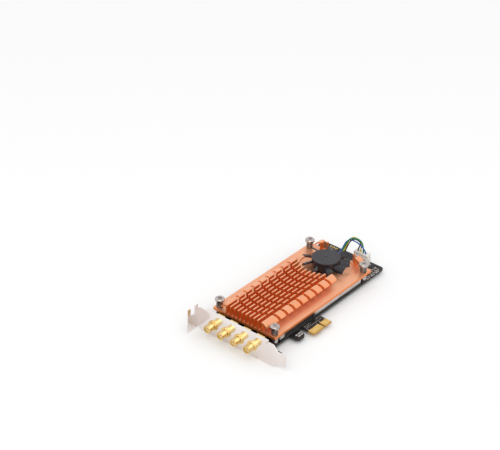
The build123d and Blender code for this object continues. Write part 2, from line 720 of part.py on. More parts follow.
def stator_core():
    """Cross-shaped iron core with curved pole shoes."""
    z0 = STATOR_Z
    z1 = z0 + STATOR_H
    radius = stator_radius()
    half = STATOR_ARM_WIDTH / 2
    spread = radius * SHOE_SPREAD
    shape = rod(FAN_X, FAN_Y, z0, z1, HOUSING_R + STATOR_RING_T)
    wedge = Polygon((0, 0), (radius, spread), (radius, -spread), align=None)
    shoes = ring(FAN_X, FAN_Y, z0, z1, radius, radius - STATOR_SHOE_T)
    keep = Part()
    for i in range(STATOR_ARMS):
        turn = Pos(FAN_X, FAN_Y, z0) * Rot(0, 0, 360 / STATOR_ARMS * i)
        shape += turn * block(0, radius - STATOR_SHOE_T / 2, -half, half, 0, STATOR_H)
        keep += turn * rise(wedge, 0, STATOR_H)
    shape += shoes & keep
    return shape - rod(FAN_X, FAN_Y, z0, z1, HOUSING_R)


def stator_windings():
    """Copper coil on each arm of the core."""
    z0 = STATOR_Z
    half = STATOR_ARM_WIDTH / 2
    r0 = HOUSING_R + STATOR_RING_T + WINDING_GAP
    shoe = stator_radius() - STATOR_SHOE_T
    r1 = math.sqrt(shoe ** 2 - (half + COIL_T) ** 2) - WINDING_GAP
    coils = []
    for i in range(STATOR_ARMS):
        coil = block(r0, r1, -half - COIL_T, half + COIL_T, -COIL_T, STATOR_H + COIL_T)
        coil -= block(r0, r1, -half, half, 0, STATOR_H)
        coils.append(Pos(FAN_X, FAN_Y, z0) * Rot(0, 0, 360 / STATOR_ARMS * i) * coil)
    return group(coils)


def blade_section(radius, pitch, sweep):
    """Thin curved section across a blade, standing square to the radius."""
    chord = BLADE_CHORD / 2
    line = ThreePointArc((-chord, 0), (0, BLADE_CAMBER), (chord, 0))
    top = Pos(0, BLADE_T) * line
    sides = [Line(line @ 0, top @ 0), Line(line @ 1, top @ 1)]
    face = Rot(0, 0, pitch) * make_face([line, top] + sides)
    z = (HUB_BOTTOM + HUB_TOP - BLADE_DROP) / 2
    place = Plane(origin=(radius, sweep, z), x_dir=(0, 1, 0), z_dir=(1, 0, 0))
    return place * face


def fan_rotor():
    """Hub cup with swept, twisted blades."""
    cup = rod(0, 0, HUB_BOTTOM, HUB_TOP, HUB_R)
    cup = fillet(cup.edges().group_by(Axis.Z)[-1], HUB_EDGE)
    cup -= rod(0, 0, HUB_BOTTOM, CAP_UNDER, YOKE_R)
    cup -= Pos(0, 0, HUB_TOP) * Sphere(HUB_DIMPLE_R)
    sections = [blade_section(HUB_R - BLADE_EXTRA_ROOT, BLADE_ROOT_PITCH, 0),
                blade_section(FAN_R + BLADE_EXTRA_TIP, BLADE_TIP_PITCH, BLADE_SWEEP)]
    blade = loft(sections, ruled=True)
    low, high = HUB_BOTTOM, HUB_TOP - BLADE_DROP
    blade &= ring(0, 0, low, high, FAN_R, HUB_R - HUB_WALL / 2)
    for i in range(BLADE_COUNT):
        cup += Rot(0, 0, BLADE_FIRST + 360 / BLADE_COUNT * i) * blade
    return Pos(FAN_X, FAN_Y, 0) * cup


def rotor_yoke():
    """Steel cup inside the hub, pressed on the shaft."""
    z0 = HUB_BOTTOM + END_GAP
    shape = rod(FAN_X, FAN_Y, z0, CAP_UNDER, YOKE_R)
    shape -= rod(FAN_X, FAN_Y, z0, CAP_UNDER - YOKE_T, YOKE_R - YOKE_T)
    return shape - rod(FAN_X, FAN_Y, HUB_BOTTOM, CAP_UNDER, SHAFT_R)


def rotor_magnet():
    """Ring magnet inside the yoke."""
    outer = YOKE_R - YOKE_T
    return ring(FAN_X, FAN_Y, HUB_BOTTOM + END_GAP, CAP_UNDER - YOKE_T, outer, outer - MAGNET_T)


def fan_shaft():
    """Steel shaft of the rotor."""
    return rod(FAN_X, FAN_Y, DRIVER_Z + SHAFT_LIFT, CAP_UNDER, SHAFT_R)


def bearing_sleeve():
    """Oil-filled bronze sleeve in the housing."""
    z1 = CAP_UNDER - 2 * END_GAP - YOKE_T
    return ring(FAN_X, FAN_Y, DRIVER_Z, z1, SLEEVE_R, SHAFT_R + SHAFT_GAP)


def header_shell():
    """White shroud of the fan header."""
    x, y = HEADER_DEPTH / 2, HEADER_WIDTH / 2
    w = HEADER_WALL
    shape = block(HEADER_X - x, HEADER_X + x, HEADER_Y - y, HEADER_Y + y, 0, HEADER_H)
    shape -= block(HEADER_X - x + w, HEADER_X + x - w, HEADER_Y - y + w, HEADER_Y + y - w, HEADER_FLOOR, HEADER_H)
    return shape - [peg(HEADER_X, row, 0, HEADER_FLOOR, PIN_SIDE) for row in plug_rows()]


def header_pin(y):
    """Square pin of the fan header."""
    return peg(HEADER_X, y, -BOARD_T - PIN_BELOW, PIN_TOP, PIN_SIDE)


def fan_plug():
    """White plug in the header, with a way for each wire."""
    gap = HEADER_WALL + PLUG_GAP
    x, y = HEADER_DEPTH / 2 - gap, HEADER_WIDTH / 2 - gap
    shape = block(HEADER_X - x, HEADER_X + x, HEADER_Y - y, HEADER_Y + y, HEADER_FLOOR, PLUG_TOP)
    low = HEADER_H + PLUG_RIM_GAP
    rim = block(HEADER_X - x, HEADER_X + x + gap, HEADER_Y - y - gap, HEADER_Y + y + gap, low, PLUG_TOP)
    shape += rim
    for row in plug_rows():
        shape -= rod(HEADER_X, row, HEADER_FLOOR, PLUG_TOP, WIRE_R + WIRE_GAP)
    return shape


def wire_points(index, peak):
    """Corner points of one fan wire, from the driver board to the plug."""
    row = plug_rows()[PLUG_COUNT - 1 - index]
    y = FAN_Y + WIRE_PITCH * (1.2 - index)
    stagger = WIRE_STAGGER * (PLUG_COUNT - 1 - index)
    climb = SINK_X1 + WIRE_BEHIND_SINK + stagger
    under = FAN_X + DRIVER_R - WIRE_ON_DRIVER
    half = (under + climb) / 2 - 0.1
    return [
        (under, y - 0.6, WIRE_Z),
        (half, y + 0.4, WIRE_Z),
        (climb, y, WIRE_Z),
        (climb + 0.6, y - 1.0, peak),
        (HEADER_X - 0.5 - stagger, row + 0.2 * (y - row), peak),
        (HEADER_X, row, PLUG_TOP + 3.0),
        (HEADER_X, row, PLUG_TOP - WIRE_INTO_PLUG)]


def bend_radii(points):
    """Bend radius at each inner point, a little under half the shorter run."""
    radii = []
    for a, b, c in zip(points, points[1:], points[2:]):
        before, after = Vector(*b) - Vector(*a), Vector(*c) - Vector(*b)
        turn = math.radians(before.get_angle(after))
        radii.append(0.45 * min(before.length, after.length) / math.tan(turn / 2))
    return radii


def fan_wire(index, peak):
    """Round wire that follows its corner points with tangent bends."""
    points = wire_points(index, peak)
    radii = bend_radii(points)
    print("wire", index, "bend radii", [round(radius, 1) for radius in radii])
    path = FilletPolyline(*points, radius=radii)
    start = Plane(origin=path @ 0, z_dir=path % 0)
    return sweep(start * Circle(WIRE_R), path=path)


def small_part(x, y, size, turned=False):
    """Chip component lying on the board."""
    length, width, height = size
    if turned:
        length, width = width, length
    return block(x - length / 2, x + length / 2, y - width / 2, y + width / 2, 0, height)


def grid_places(counts, pitches, inset):
    """Plan positions of a field of small parts behind the heat sink."""
    x0 = SINK_X1 + PARTS_FROM_SINK
    y0 = BOARD_EDGE_Y + inset
    return [(x0 + pitches[0] * i, y0 + pitches[1] * j)
            for i in range(counts[0]) for j in range(counts[1])]


def power_inductors():
    """Two moulded inductors behind the fan."""
    h = INDUCTOR_SIDE / 2
    x = SINK_X1 + INDUCTOR_GAP + h
    rows = [FAN_Y + offset for offset in INDUCTOR_FROM_FAN]
    return group(block(x - h, x + h, y - h, y + h, 0, INDUCTOR_H) for y in rows)


def chip_capacitors():
    """Capacitors on the open board at the far end."""
    places = grid_places(CAP_GRID, CAP_PITCH, CAP_INSET)
    return group(small_part(x, y, CAP_SIZE, turned=True) for x, y in places)


def chip_resistors():
    """Resistors on the open board at the far end."""
    places = grid_places(RESISTOR_GRID, RESISTOR_PITCH, RESISTOR_INSET)
    return group(small_part(x, y, RESISTOR_SIZE) for x, y in places)


def hole_rings():
    """Plated rings round the empty holes at the far edge."""
    return group(ring(x, y, 0, HOLE_RING_T, HOLE_RING_R, HOLE_R) for x, y in ring_places())


def all_nodes():
    """Every node of the card by name."""
    places = screw_places()
    rows = jack_rows()
    shield = module_shield_box()
    shield_top = MODULE_TOP + MODULE_SHIELD_H
    nodes = {
        "circuit_board": circuit_board(),
        "edge_contacts_top": contacts(0),
        "edge_contacts_bottom": contacts(-BOARD_T - CONTACT_T),
        "io_bracket": io_bracket(),
        "jack_insulators": group(jack_insulator(y) for y in rows),
        "jack_center_pins": group(jack_pin(y) for y in rows),
        "jack_washers": group(jack_washer(y) for y in rows),
        "jack_nuts": group(jack_nut(y) for y in rows),
        "heat_sink": heat_sink(),
        "heat_sink_screws": group(sink_screw(*p) for p in places),
        "screw_springs": group(screw_spring(*p) for p in places),
        "screw_standoffs": group(screw_standoff(*p) for p in places),
        "module_socket": module_socket(),
        "radio_module_board": module_board(),
        "module_shield": can(*shield, MODULE_TOP, shield_top),
        "module_pad": pad(shield, shield_top),
        "module_posts": group(module_post(*p) for p in module_posts()),
        "module_screws": group(module_screw(*p) for p in module_posts()),
        "shield_can": can(*can_box(), 0, CAN_H),
        "shield_pad": pad(can_box(), CAN_H),
        "radio_chip": radio_chip(),
        "frontend_chips": frontend_chips(),
        "regulator_chip": regulator_block(0, REGULATOR_H),
        "regulator_pad": regulator_block(REGULATOR_H, SINK_Z),
        "fan_adhesive": rod(FAN_X, FAN_Y, RECESS_Z, FAN_BASE_Z, FAN_BASE_R - ADHESIVE_INSET),
        "fan_base": fan_base(),
        "fan_driver_board": ring(FAN_X, FAN_Y, DRIVER_Z, DRIVER_TOP, DRIVER_R, HOUSING_R),
        "stator_core": stator_core(),
        "stator_windings": stator_windings(),
        "bearing_sleeve": bearing_sleeve(),
        "fan_rotor": fan_rotor(),
        "rotor_yoke": rotor_yoke(),
        "rotor_magnet": rotor_magnet(),
        "fan_shaft": fan_shaft(),
        "fan_header": header_shell(),
        "header_pins": group(header_pin(y) for y in plug_rows()),
        "fan_plug": fan_plug(),
        "power_inductors": power_inductors(),
        "chip_capacitors": chip_capacitors(),
        "chip_resistors": chip_resistors(),
        "hole_rings": hole_rings(),
    }
    for number, y in enumerate(rows, 1):
        nodes[f"antenna_jack_{number}"] = antenna_jack(y)
    for index, (colour, peak) in enumerate(WIRE_PEAKS.items()):
        nodes[f"fan_wire_{colour}"] = fan_wire(index, peak)
    return nodes


os.makedirs("parts", exist_ok=True)
for name, shape in all_nodes().items():
    export_step(shape, f"parts/{name}.step")
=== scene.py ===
"""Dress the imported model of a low-profile wireless network card and set it in a plain studio."""
import json
import logging
import math
from collections.abc import Callable, Iterable, Sequence
from dataclasses import dataclass
from enum import Enum
from itertools import combinations
from typing import Any

import bmesh
import bpy
from bmesh.types import BMesh, BMVert
from bpy.types import ID, Material, Mesh, Node, NodeSocket, NodeTree, Object, World
from mathutils import Euler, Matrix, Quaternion, Vector

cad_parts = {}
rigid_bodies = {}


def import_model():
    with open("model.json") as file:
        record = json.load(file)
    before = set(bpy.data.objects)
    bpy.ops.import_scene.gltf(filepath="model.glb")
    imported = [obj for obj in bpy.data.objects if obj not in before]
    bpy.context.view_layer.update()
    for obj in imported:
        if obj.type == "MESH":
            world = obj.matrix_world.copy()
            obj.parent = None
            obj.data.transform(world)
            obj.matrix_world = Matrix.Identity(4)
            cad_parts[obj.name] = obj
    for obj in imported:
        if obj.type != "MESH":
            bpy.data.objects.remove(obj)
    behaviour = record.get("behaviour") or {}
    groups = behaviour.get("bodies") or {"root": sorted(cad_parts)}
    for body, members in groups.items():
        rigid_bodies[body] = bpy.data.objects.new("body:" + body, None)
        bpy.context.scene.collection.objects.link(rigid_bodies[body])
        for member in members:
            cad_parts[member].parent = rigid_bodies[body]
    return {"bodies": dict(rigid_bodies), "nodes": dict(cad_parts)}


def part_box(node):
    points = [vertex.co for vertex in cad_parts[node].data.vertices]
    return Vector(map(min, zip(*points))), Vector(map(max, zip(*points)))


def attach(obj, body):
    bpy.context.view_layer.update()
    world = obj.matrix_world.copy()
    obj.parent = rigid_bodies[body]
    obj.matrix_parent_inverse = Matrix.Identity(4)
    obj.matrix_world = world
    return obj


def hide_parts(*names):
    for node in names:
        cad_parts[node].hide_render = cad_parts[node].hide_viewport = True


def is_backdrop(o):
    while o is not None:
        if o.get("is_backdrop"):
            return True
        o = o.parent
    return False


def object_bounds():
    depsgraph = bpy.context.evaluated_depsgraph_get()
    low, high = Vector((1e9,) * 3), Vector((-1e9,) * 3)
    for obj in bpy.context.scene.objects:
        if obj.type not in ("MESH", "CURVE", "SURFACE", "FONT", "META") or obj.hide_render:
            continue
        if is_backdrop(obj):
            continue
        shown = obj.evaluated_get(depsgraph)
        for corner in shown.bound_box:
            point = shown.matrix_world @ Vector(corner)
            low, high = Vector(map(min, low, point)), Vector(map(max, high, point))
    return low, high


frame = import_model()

MM = 0.001
# Points closer than MERGE are one point, faces within FLAT are one face, and faces past SHARP make an edge
MERGE = 1e-6
FLAT = math.radians(0.6)
SHARP = math.radians(32)
# Cosine between two edges that leave a corner in nearly the same direction
SAME_WAY = 0.9
# Radians that a wave texture turns through in one unit at scale 1
WAVE_RADIANS = 20
# Detail of the noise, and the parts of its range that drive colour and roughness
NOISE_DETAIL = 3.0
DRIFT_RANGE = (0.35, 0.65)
GLOSS_RANGE = (0.3, 0.7)
JACKS = tuple(f"antenna_jack_{number}" for number in range(1, 5))
# Rows of plain printed bars: start of the row, lengths, step along X and width, in millimetres
PRINTED_BARS = (
    ((-10.6, 10.6), (1.1, 0.7, 1.4, 0.9, 0.6), 1.75, 0.5),
    ((-10.6, 9.3), (0.8, 1.2, 0.6, 1.0), 1.75, 0.5),
    *(((x, 6.4), (0.8,), 0.0, 0.7) for x in (-11.3, -1.9, 1.2, 7.0)),
    ((2.6, 10.2), (1.2, 0.8, 1.1), 1.7, 0.45),
    ((-22.8, 8.5), (2.0, 2.3, 1.6), 2.7, 1.1),
    ((-22.2, 6.6), (2.4, 1.9), 3.0, 1.1),
    ((-52.6, 10.4), (2.4, 1.6), 3.4, 0.45),
    ((68.6, 14.2), (1.4, 2.2, 1.0, 1.9, 1.3, 2.1), 2.75, 0.9),
    ((68.6, 12.8), (2.1, 1.2, 1.8, 1.1, 2.0, 1.4), 2.75, 0.9),
    ((78.0, 17.4), (1.9, 1.2, 2.1), 3.0, 1.0))
Triple = tuple[float, float, float]
log = logging.getLogger("wifi_card")


class Body(Enum):
    """Rigid bodies of the card."""

    CARD = "card"
    ROTOR = "rotor"


class Lay(Enum):
    """Direction in which a surface was worked, as the stretch of its grain along X, Y and Z."""

    EVEN = (1.0, 1.0, 1.0)
    ALONG_X = (0.05, 1.0, 1.0)
    ALONG_Y = (1.0, 0.05, 1.0)
    ALONG_Z = (1.0, 1.0, 0.05)


def linear(code: str) -> tuple[float, float, float, float]:
    """Turn an sRGB hex value into linear colour.

    Args:
        code: Colour as #RRGGBB.

    Returns:
        Red, green, blue and a full alpha.
    """
    parts = [int(code[at:at + 2], 16) / 255 for at in (1, 3, 5)]
    red, green, blue = (v / 12.92 if v <= 0.04045 else ((v + 0.055) / 1.055) ** 2.4 for v in parts)
    return red, green, blue, 1.0


def per_mm(size: float) -> float:
    """Texture scale at which one feature is that many millimetres wide."""
    return 1 / (size * MM)


def add(tree: NodeTree, kind: str, inputs: dict[Any, Any] | None = None, **settings: Any) -> Node:
    """Add one node with its settings and links.

    Args:
        tree: Node tree that takes the node.
        kind: Blender's name of the node type.
        inputs: For each input, by name or number, its value or what it is linked to: a socket, or a node
            that stands for its first output.
        **settings: Properties of the node.

    Returns:
        The new node.
    """
    node = tree.nodes.new(kind)
    for name, value in settings.items():
        setattr(node, name, value)
    for key, value in (inputs or {}).items():
        if isinstance(value, (Node, NodeSocket)):
            tree.links.new(value.outputs[0] if isinstance(value, Node) else value, node.inputs[key])
        else:
            node.inputs[key].default_value = value
    return node


def bare_tree(owner: Material | World) -> NodeTree:
    """Give a material or a world an empty node tree."""
    owner.use_nodes = True
    owner.node_tree.nodes.clear()
    return owner.node_tree


def linked(name: str, data: ID) -> Object:
    """Make an object and put it in the scene."""
    thing = bpy.data.objects.new(name, data)
    bpy.context.scene.collection.objects.link(thing)
    return thing


@dataclass(frozen=True)
class Finish:
    """Surface of one real material.

    Attributes:
        name: Common name of the material and how it was made.
        slot: Material slot of the record that it belongs to.
        tone: Main colour.
        shade: Second colour, reached in soft patches.
        patch_mm: Size of those patches.
        roughness: Lowest and highest roughness over the grain.
        grain_mm: Width of the grain.
        depth_mm: Height of the grain.
        lay: Direction of the grain.
        metallic: 1 for bare metal.
        specular: Strength of the mirror part of a plastic or coating.
        upright: Colour of faces that stand upright, if it differs: the sawn laminate of a board's edge, or
            painted shade on the walls of fins.
    """

    name: str
    slot: str
    tone: str
    shade: str
    patch_mm: float = 8.0
    roughness: tuple[float, float] = (0.35, 0.5)
    grain_mm: float = 0.7
    depth_mm: float = 0.004
    lay: Lay = Lay.EVEN
    metallic: float = 0.0
    specular: float = 0.5
    upright: str = ""

    def colour(self, tree: NodeTree, place: NodeSocket) -> NodeSocket:
        """Let the colour drift between tone and shade, and turn to another on upright faces.

        Args:
            tree: Node tree of the material.
            place: Object coordinates.

        Returns:
            The colour socket.
        """
        patch = add(tree, "ShaderNodeTexNoise", {
            "Vector": place, "Scale": per_mm(self.patch_mm), "Detail": NOISE_DETAIL})
        drift = add(tree, "ShaderNodeMapRange", dict(enumerate((patch, *DRIFT_RANGE))))
        both = {0: drift, 6: linear(self.tone), 7: linear(self.shade)}
        level = add(tree, "ShaderNodeMix", both, data_type="RGBA").outputs[2]
        if not self.upright:
            return level
        # Colour by facing: on boards the sawn laminate's own colour, on the heat sink painted shade on the
        # upright fin walls
        normal = add(tree, "ShaderNodeNewGeometry").outputs["True Normal"]
        tilt = add(tree, "ShaderNodeSeparateXYZ", {0: normal}).outputs["Z"]
        flat = add(tree, "ShaderNodeMath", {0: tilt}, operation="ABSOLUTE")
        both = {0: flat, 6: linear(self.upright), 7: level}
        return add(tree, "ShaderNodeMix", both, data_type="RGBA").outputs[2]

    def relief(self, tree: NodeTree, place: NodeSocket) -> Node:
        """Grain of the surface, from 0 to 1.

        Args:
            tree: Node tree of the material.
            place: Object coordinates.

        Returns:
            The node that gives the height.
        """
        turned = add(tree, "ShaderNodeMapping", {"Vector": place, "Scale": self.lay.value})
        grain = {"Vector": turned, "Scale": per_mm(self.grain_mm), "Detail": NOISE_DETAIL}
        return add(tree, "ShaderNodeTexNoise", grain)

    def material(self) -> Material:
        """Build the material once and share it.

        Returns:
            The material with this finish.
        """
        known = bpy.data.materials.get(self.name)
        if known:
            return known
        made = bpy.data.materials.new(self.name)
        tree = bare_tree(made)
        place = add(tree, "ShaderNodeTexCoord").outputs["Object"]
        height = self.relief(tree, place)
        span = dict(enumerate((height, *GLOSS_RANGE, *self.roughness)))
        gloss = add(tree, "ShaderNodeMapRange", span)
        bump = add(tree, "ShaderNodeBump", {"Height": height, "Distance": self.depth_mm * MM, "Strength": 1.0})
        shader = add(tree, "ShaderNodeBsdfPrincipled", {
            "Base Color": self.colour(tree, place), "Roughness": gloss, "Normal": bump,
            "Metallic": self.metallic, "Specular IOR Level": self.specular})
        add(tree, "ShaderNodeOutputMaterial", {"Surface": shader})
        return made


@dataclass(frozen=True)
class MaskFinish(Finish):
    """Solder mask over a glass-fibre board, whose sawn edges show the bare laminate.

    Attributes:
        bare: Colour of the laminate round the contacts, where the mask is left open.
        bare_mm: Where that opening begins along X and ends along Y.
        weave_mm: Length in which the weave's wave turns by one radian, coarse enough to show.
        cloth: Share of the weave in the relief.
    """

    bare: str = "#2B2721"
    bare_mm: tuple[float, float] = (-13.0, 5.5)
    weave_mm: float = 1.1
    cloth: float = 0.35

    def colour(self, tree: NodeTree, place: NodeSocket) -> NodeSocket:
        """Use the laminate's colour also where the mask is left open."""
        sawn = super().colour(tree, place)
        along = add(tree, "ShaderNodeSeparateXYZ", {0: place}).outputs
        tests = enumerate(zip("XY", self.bare_mm, ("GREATER_THAN", "LESS_THAN")))
        inside = {index: add(tree, "ShaderNodeMath", {0: along[axis], 1: end * MM}, operation=test)
                  for index, (axis, end, test) in tests}
        both = add(tree, "ShaderNodeMath", inside, operation="MULTIPLY")
        opened = {0: both, 6: sawn, 7: linear(self.bare)}
        return add(tree, "ShaderNodeMix", opened, data_type="RGBA").outputs[2]

    def relief(self, tree: NodeTree, place: NodeSocket) -> Node:
        """Add the two directions of the weave to the grain."""
        wave = {"Vector": place, "Scale": per_mm(self.weave_mm) / WAVE_RADIANS}
        threads = {index: add(tree, "ShaderNodeTexWave", wave, bands_direction=way).outputs["Fac"]
                   for index, way in enumerate("XY")}
        crossed = add(tree, "ShaderNodeMath", threads, operation="MULTIPLY")
        both = {0: self.cloth, 2: super().relief(tree, place), 3: crossed}
        return add(tree, "ShaderNodeMix", both, data_type="FLOAT")


# Dyed aluminium, salmon. The split by facing is painted light: the deep orange on the upright walls of the fins
# is painted shade and bounced light between the fins, and the paler tone on faces that look up stands in for
# the sheen of the clear oxide
COPPER_ALUMINIUM = Finish("anodised_aluminium_copper_dye", "copper_anodised", "#F4B18B", "#EFA67D", 22.0,
                          (0.28, 0.36), 0.8, 0.001, metallic=0.6, upright="#EE8640")
# Bright nickel on rolled sheet: nearly a mirror, with a faint rolling direction
NICKEL_SHEET = Finish("bright_nickel_plated_sheet_steel", "nickel_steel", "#F1EAE7", "#E8DFDB", 25.0,
                      (0.1, 0.16), 0.5, 0.001, Lay.ALONG_Y, metallic=1.0)
# Turned brass under gold: warm, with sharp highlights
GOLD_BRASS = Finish("gold_plated_turned_brass", "gold_plate", "#F4DBA0", "#E6C67F", 5.0,
                    (0.08, 0.15), 0.35, 0.001, metallic=1.0)
# Hard gold on copper: smoother and paler than the jacks, with wipe marks along the contact
GOLD_CONTACT = Finish("hard_gold_contact_plate", "gold_plate", "#F5D68C", "#E8C470", 3.0,
                      (0.18, 0.3), 0.25, 0.001, Lay.ALONG_Y, metallic=1.0)
# Nickel on turned steel: clean, darker than the sheet
NICKEL_SCREW = Finish("nickel_plated_screw_steel", "nickel_screw", "#C6BDB9", "#A79E9A", 3.0,
                      (0.12, 0.2), 0.4, 0.001, metallic=1.0)
# Drawn spring wire: darker and greyer
SPRING_WIRE = Finish("drawn_spring_steel_wire", "spring_steel", "#8A817B", "#6B635E", 1.5,
                     (0.2, 0.32), 0.2, 0.002, metallic=1.0)
# Matt black mask with the glass weave just showing
BLACK_MASK = MaskFinish("black_solder_mask_on_glass_epoxy", "solder_mask", "#141214", "#1C191B", 9.0,
                        (0.34, 0.46), 0.5, 0.006, specular=0.3, upright="#2B2721", bare="#B98A45")
# Copper tracks under the same mask: a touch lighter and higher
TRACK_MASK = Finish("solder_mask_over_copper_track", "solder_mask", "#2A2627", "#322D2D", 6.0,
                    (0.32, 0.42), 0.5, 0.003, specular=0.4)
# Screen-printed ink: flat, chalky, greyed where it is thin
WHITE_INK = Finish("screen_printed_white_ink", "white_ptfe", "#D3D0CA", "#B9B6B0", 1.2,
                   (0.6, 0.75), 0.3, 0.006)
# Reflowed tin: silky, with soft dull patches
SOLDER = Finish("reflowed_tin_solder", "tinned_shield", "#D8D6D2", "#BDBAB5", 0.8,
                (0.2, 0.34), 0.4, 0.01, metallic=1.0)
# Stamped tin-plate: pale grey and satin
TIN_PLATE = Finish("tin_plated_stamped_shield", "tinned_shield", "#DAD3CF", "#C6BEBA", 6.0,
                   (0.26, 0.4), 0.5, 0.003, Lay.ALONG_X, metallic=1.0)
# Turned fluoropolymer: waxy white
WHITE_PTFE = Finish("turned_white_fluoropolymer", "white_ptfe", "#EFECE4", "#E2DED3", 2.0,
                    (0.4, 0.55), 0.4, 0.004)
# Moulded nylon connector: dull black with a fine mould grain
BLACK_NYLON = Finish("moulded_black_nylon", "black_moulding", "#262425", "#2E2B2C", 4.0,
                     (0.34, 0.46), 0.4, 0.004)
# Thin module laminate: dark green-black
MODULE_LAMINATE = MaskFinish("dark_green_module_laminate", "module_board", "#16241C", "#1B2B22", 5.0,
                             (0.35, 0.5), 0.5, 0.005, upright="#4B4630")
# Silicone gap pad: dusty warm grey
GAP_PAD = Finish("silicone_heat_pad", "gap_pad", "#B9B4B0", "#A9A39F", 2.0, (0.75, 0.9), 0.35, 0.03)
# Epoxy chip body: charcoal, finely sanded
CHIP_EPOXY = Finish("moulded_chip_epoxy", "chip_epoxy", "#232224", "#2B292B", 3.0, (0.5, 0.65), 0.3, 0.006)
# Glass-filled polyester of the fan: dark grey, satin, with a fine eroded texture
FAN_POLYESTER = Finish("moulded_glass_filled_polyester", "fan_plastic", "#2B282D", "#262328", 7.0,
                       (0.26, 0.34), 0.5, 0.002, specular=0.45)
# Pressed motor iron and the magnet: dull dark grey
MOTOR_IRON = Finish("pressed_motor_iron", "motor_iron", "#77736F", "#5F5B58", 2.0,
                    (0.4, 0.55), 0.4, 0.004, metallic=1.0)
# Enamelled winding wire: glossy red-brown
ENAMEL_WIRE = Finish("enamelled_copper_winding", "copper_wire", "#B4562D", "#98431F", 0.6,
                     (0.2, 0.35), 0.15, 0.02, metallic=0.8)
# Sintered bronze: porous and oily
BRONZE = Finish("sintered_bronze", "bronze", "#A9783C", "#8D602C", 0.8,
                (0.35, 0.5), 0.25, 0.006, metallic=1.0)
# Ground shaft steel
GROUND_STEEL = Finish("ground_shaft_steel", "bright_steel", "#DAD9D8", "#C9C8C7", 2.0,
                      (0.1, 0.18), 0.2, 0.001, Lay.ALONG_Z, metallic=1.0)
# Natural nylon of the fan connector: creamy white
IVORY_NYLON = Finish("moulded_natural_nylon", "ivory_nylon", "#EDE8E2", "#E2DBD3", 3.0,
                     (0.38, 0.5), 0.5, 0.006)
# Fired ceramic of chip capacitors: sandy brown
CERAMIC = Finish("fired_barium_ceramic", "ceramic", "#8E8072", "#7B6E62", 0.6, (0.45, 0.6), 0.2, 0.004)
# Extruded wire insulation: clean colour, soft gloss
WIRE_PVC = tuple(Finish(f"extruded_pvc_{hue}", f"wire_{hue}", tone, shade, 2.0, (0.32, 0.42), 0.4, 0.004)
                 for hue, tone, shade in (("blue", "#145AB4", "#1050A6"), ("green", "#008C6E", "#007E62"),
                                          ("yellow", "#E0CA28", "#D4BE20"), ("black", "#1A1919", "#222020")))


def dress(finish: Finish, *nodes: str) -> None:
    """Give CAD nodes whose shape is right a finish.

    Args:
        finish: Finish that they take.
        *nodes: Names of the nodes.
    """
    for node in nodes:
        frame["nodes"][node].material_slots[0].material = finish.material()
        log.info("%s keeps its CAD shape in %s", node, finish.name)


def settle(carrier: Object) -> Mesh:
    """Turn an object with live modifiers into a plain mesh.

    Args:
        carrier: Object that holds the modifiers; it is removed.

    Returns:
        The evaluated mesh.
    """
    graph = bpy.context.evaluated_depsgraph_get()
    mesh = bpy.data.meshes.new_from_object(carrier.evaluated_get(graph), depsgraph=graph)
    carrier.modifiers.clear()
    bpy.data.objects.remove(carrier)
    return mesh


def place(name: str, mesh: Mesh, finish: Finish, *nodes: str, body: Body = Body.CARD) -> Object:
    """Put a finished mesh on the card as one piece.

    Args:
        name: Name of the piece.
        mesh: Mesh with its place in its points.
        finish: Finish of the piece.
        *nodes: CAD nodes that it stands for.
        body: Body that carries it.

    Returns:
        The piece.
    """
    mesh.materials.clear()
    mesh.materials.append(finish.material())
    piece = linked(name, mesh)
    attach(piece, body.value)
    if nodes:
        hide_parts(*nodes)
    log.info("%s: %d faces in %s", name, len(mesh.polygons), finish.name)
    return piece


def merged(node: str) -> BMesh:
    """Copy a CAD node's loose triangles into closed shells."""
    shell = bmesh.new()
    shell.from_mesh(frame["nodes"][node].data)
    bmesh.ops.remove_doubles(shell, verts=shell.verts, dist=MERGE)
    return shell


def solids(node: str) -> list[tuple[Vector, Vector]]:
    """Find the separate solids of a CAD node.

    Args:
        node: Name of the node.

    Returns:
        Lowest and highest corner of each solid, sorted along X, then Y.
    """
    shell = merged(node)
    left = set(shell.verts)
    found = []
    while left:
        front = [left.pop()]
        points = []
        while front:
            vert = front.pop()
            points.append(vert.co.copy())
            near = {edge.other_vert(vert) for edge in vert.link_edges} & left
            left -= near
            front.extend(near)
        found.append(tuple(Vector(pick(p[axis] for p in points) for axis in range(3)) for pick in (min, max)))
    shell.free()
    return sorted(found, key=lambda pair: (round(pair[0].x, 4), pair[0].y))


def spans(node: str) -> list[tuple[Vector, Vector]]:
    """Corners of the solids of a CAD node in millimetres."""
    return [(low / MM, high / MM) for low, high in solids(node)]


def span_of(node: str) -> tuple[Vector, Vector]:
    """Lowest and highest corner of a whole CAD node in millimetres."""
    low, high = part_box(node)
    return low / MM, high / MM


def low_ends(node: str, reach: float = 1.0 * MM) -> list[Vector]:
    """Find where the legs of a CAD node end under the board.

    Args:
        node: Name of the node.
        reach: Points nearer than this belong to one leg.

    Returns:
        Middle of each leg's lowest points.
    """
    points = [vert.co.copy() for vert in frame["nodes"][node].data.vertices]
    bottom = min(point.z for point in points) + 0.02 * MM
    legs: list[list[Vector]] = []
    for point in (p for p in points if p.z < bottom):
        home = next((leg for leg in legs if (leg[0] - point).length < 2 * reach), None)
        if home is None:
            legs.append([point])
        else:
            home.append(point)
    return [sum(leg, Vector()) / len(leg) for leg in legs]


def knotted(vert: BMVert) -> bool:
    """Tell whether two sharp edges leave a corner so close together that rounding them would tear it.

    Args:
        vert: Corner of a shell.

    Returns:
        Whether its edges have to stay sharp.
    """
    ways = [(edge.other_vert(vert).co - vert.co).normalized() for edge in vert.link_edges
            if edge.calc_face_angle(0.0) > SHARP]
    return any(one.dot(other) > SAME_WAY for one, other in combinations(ways, 2))


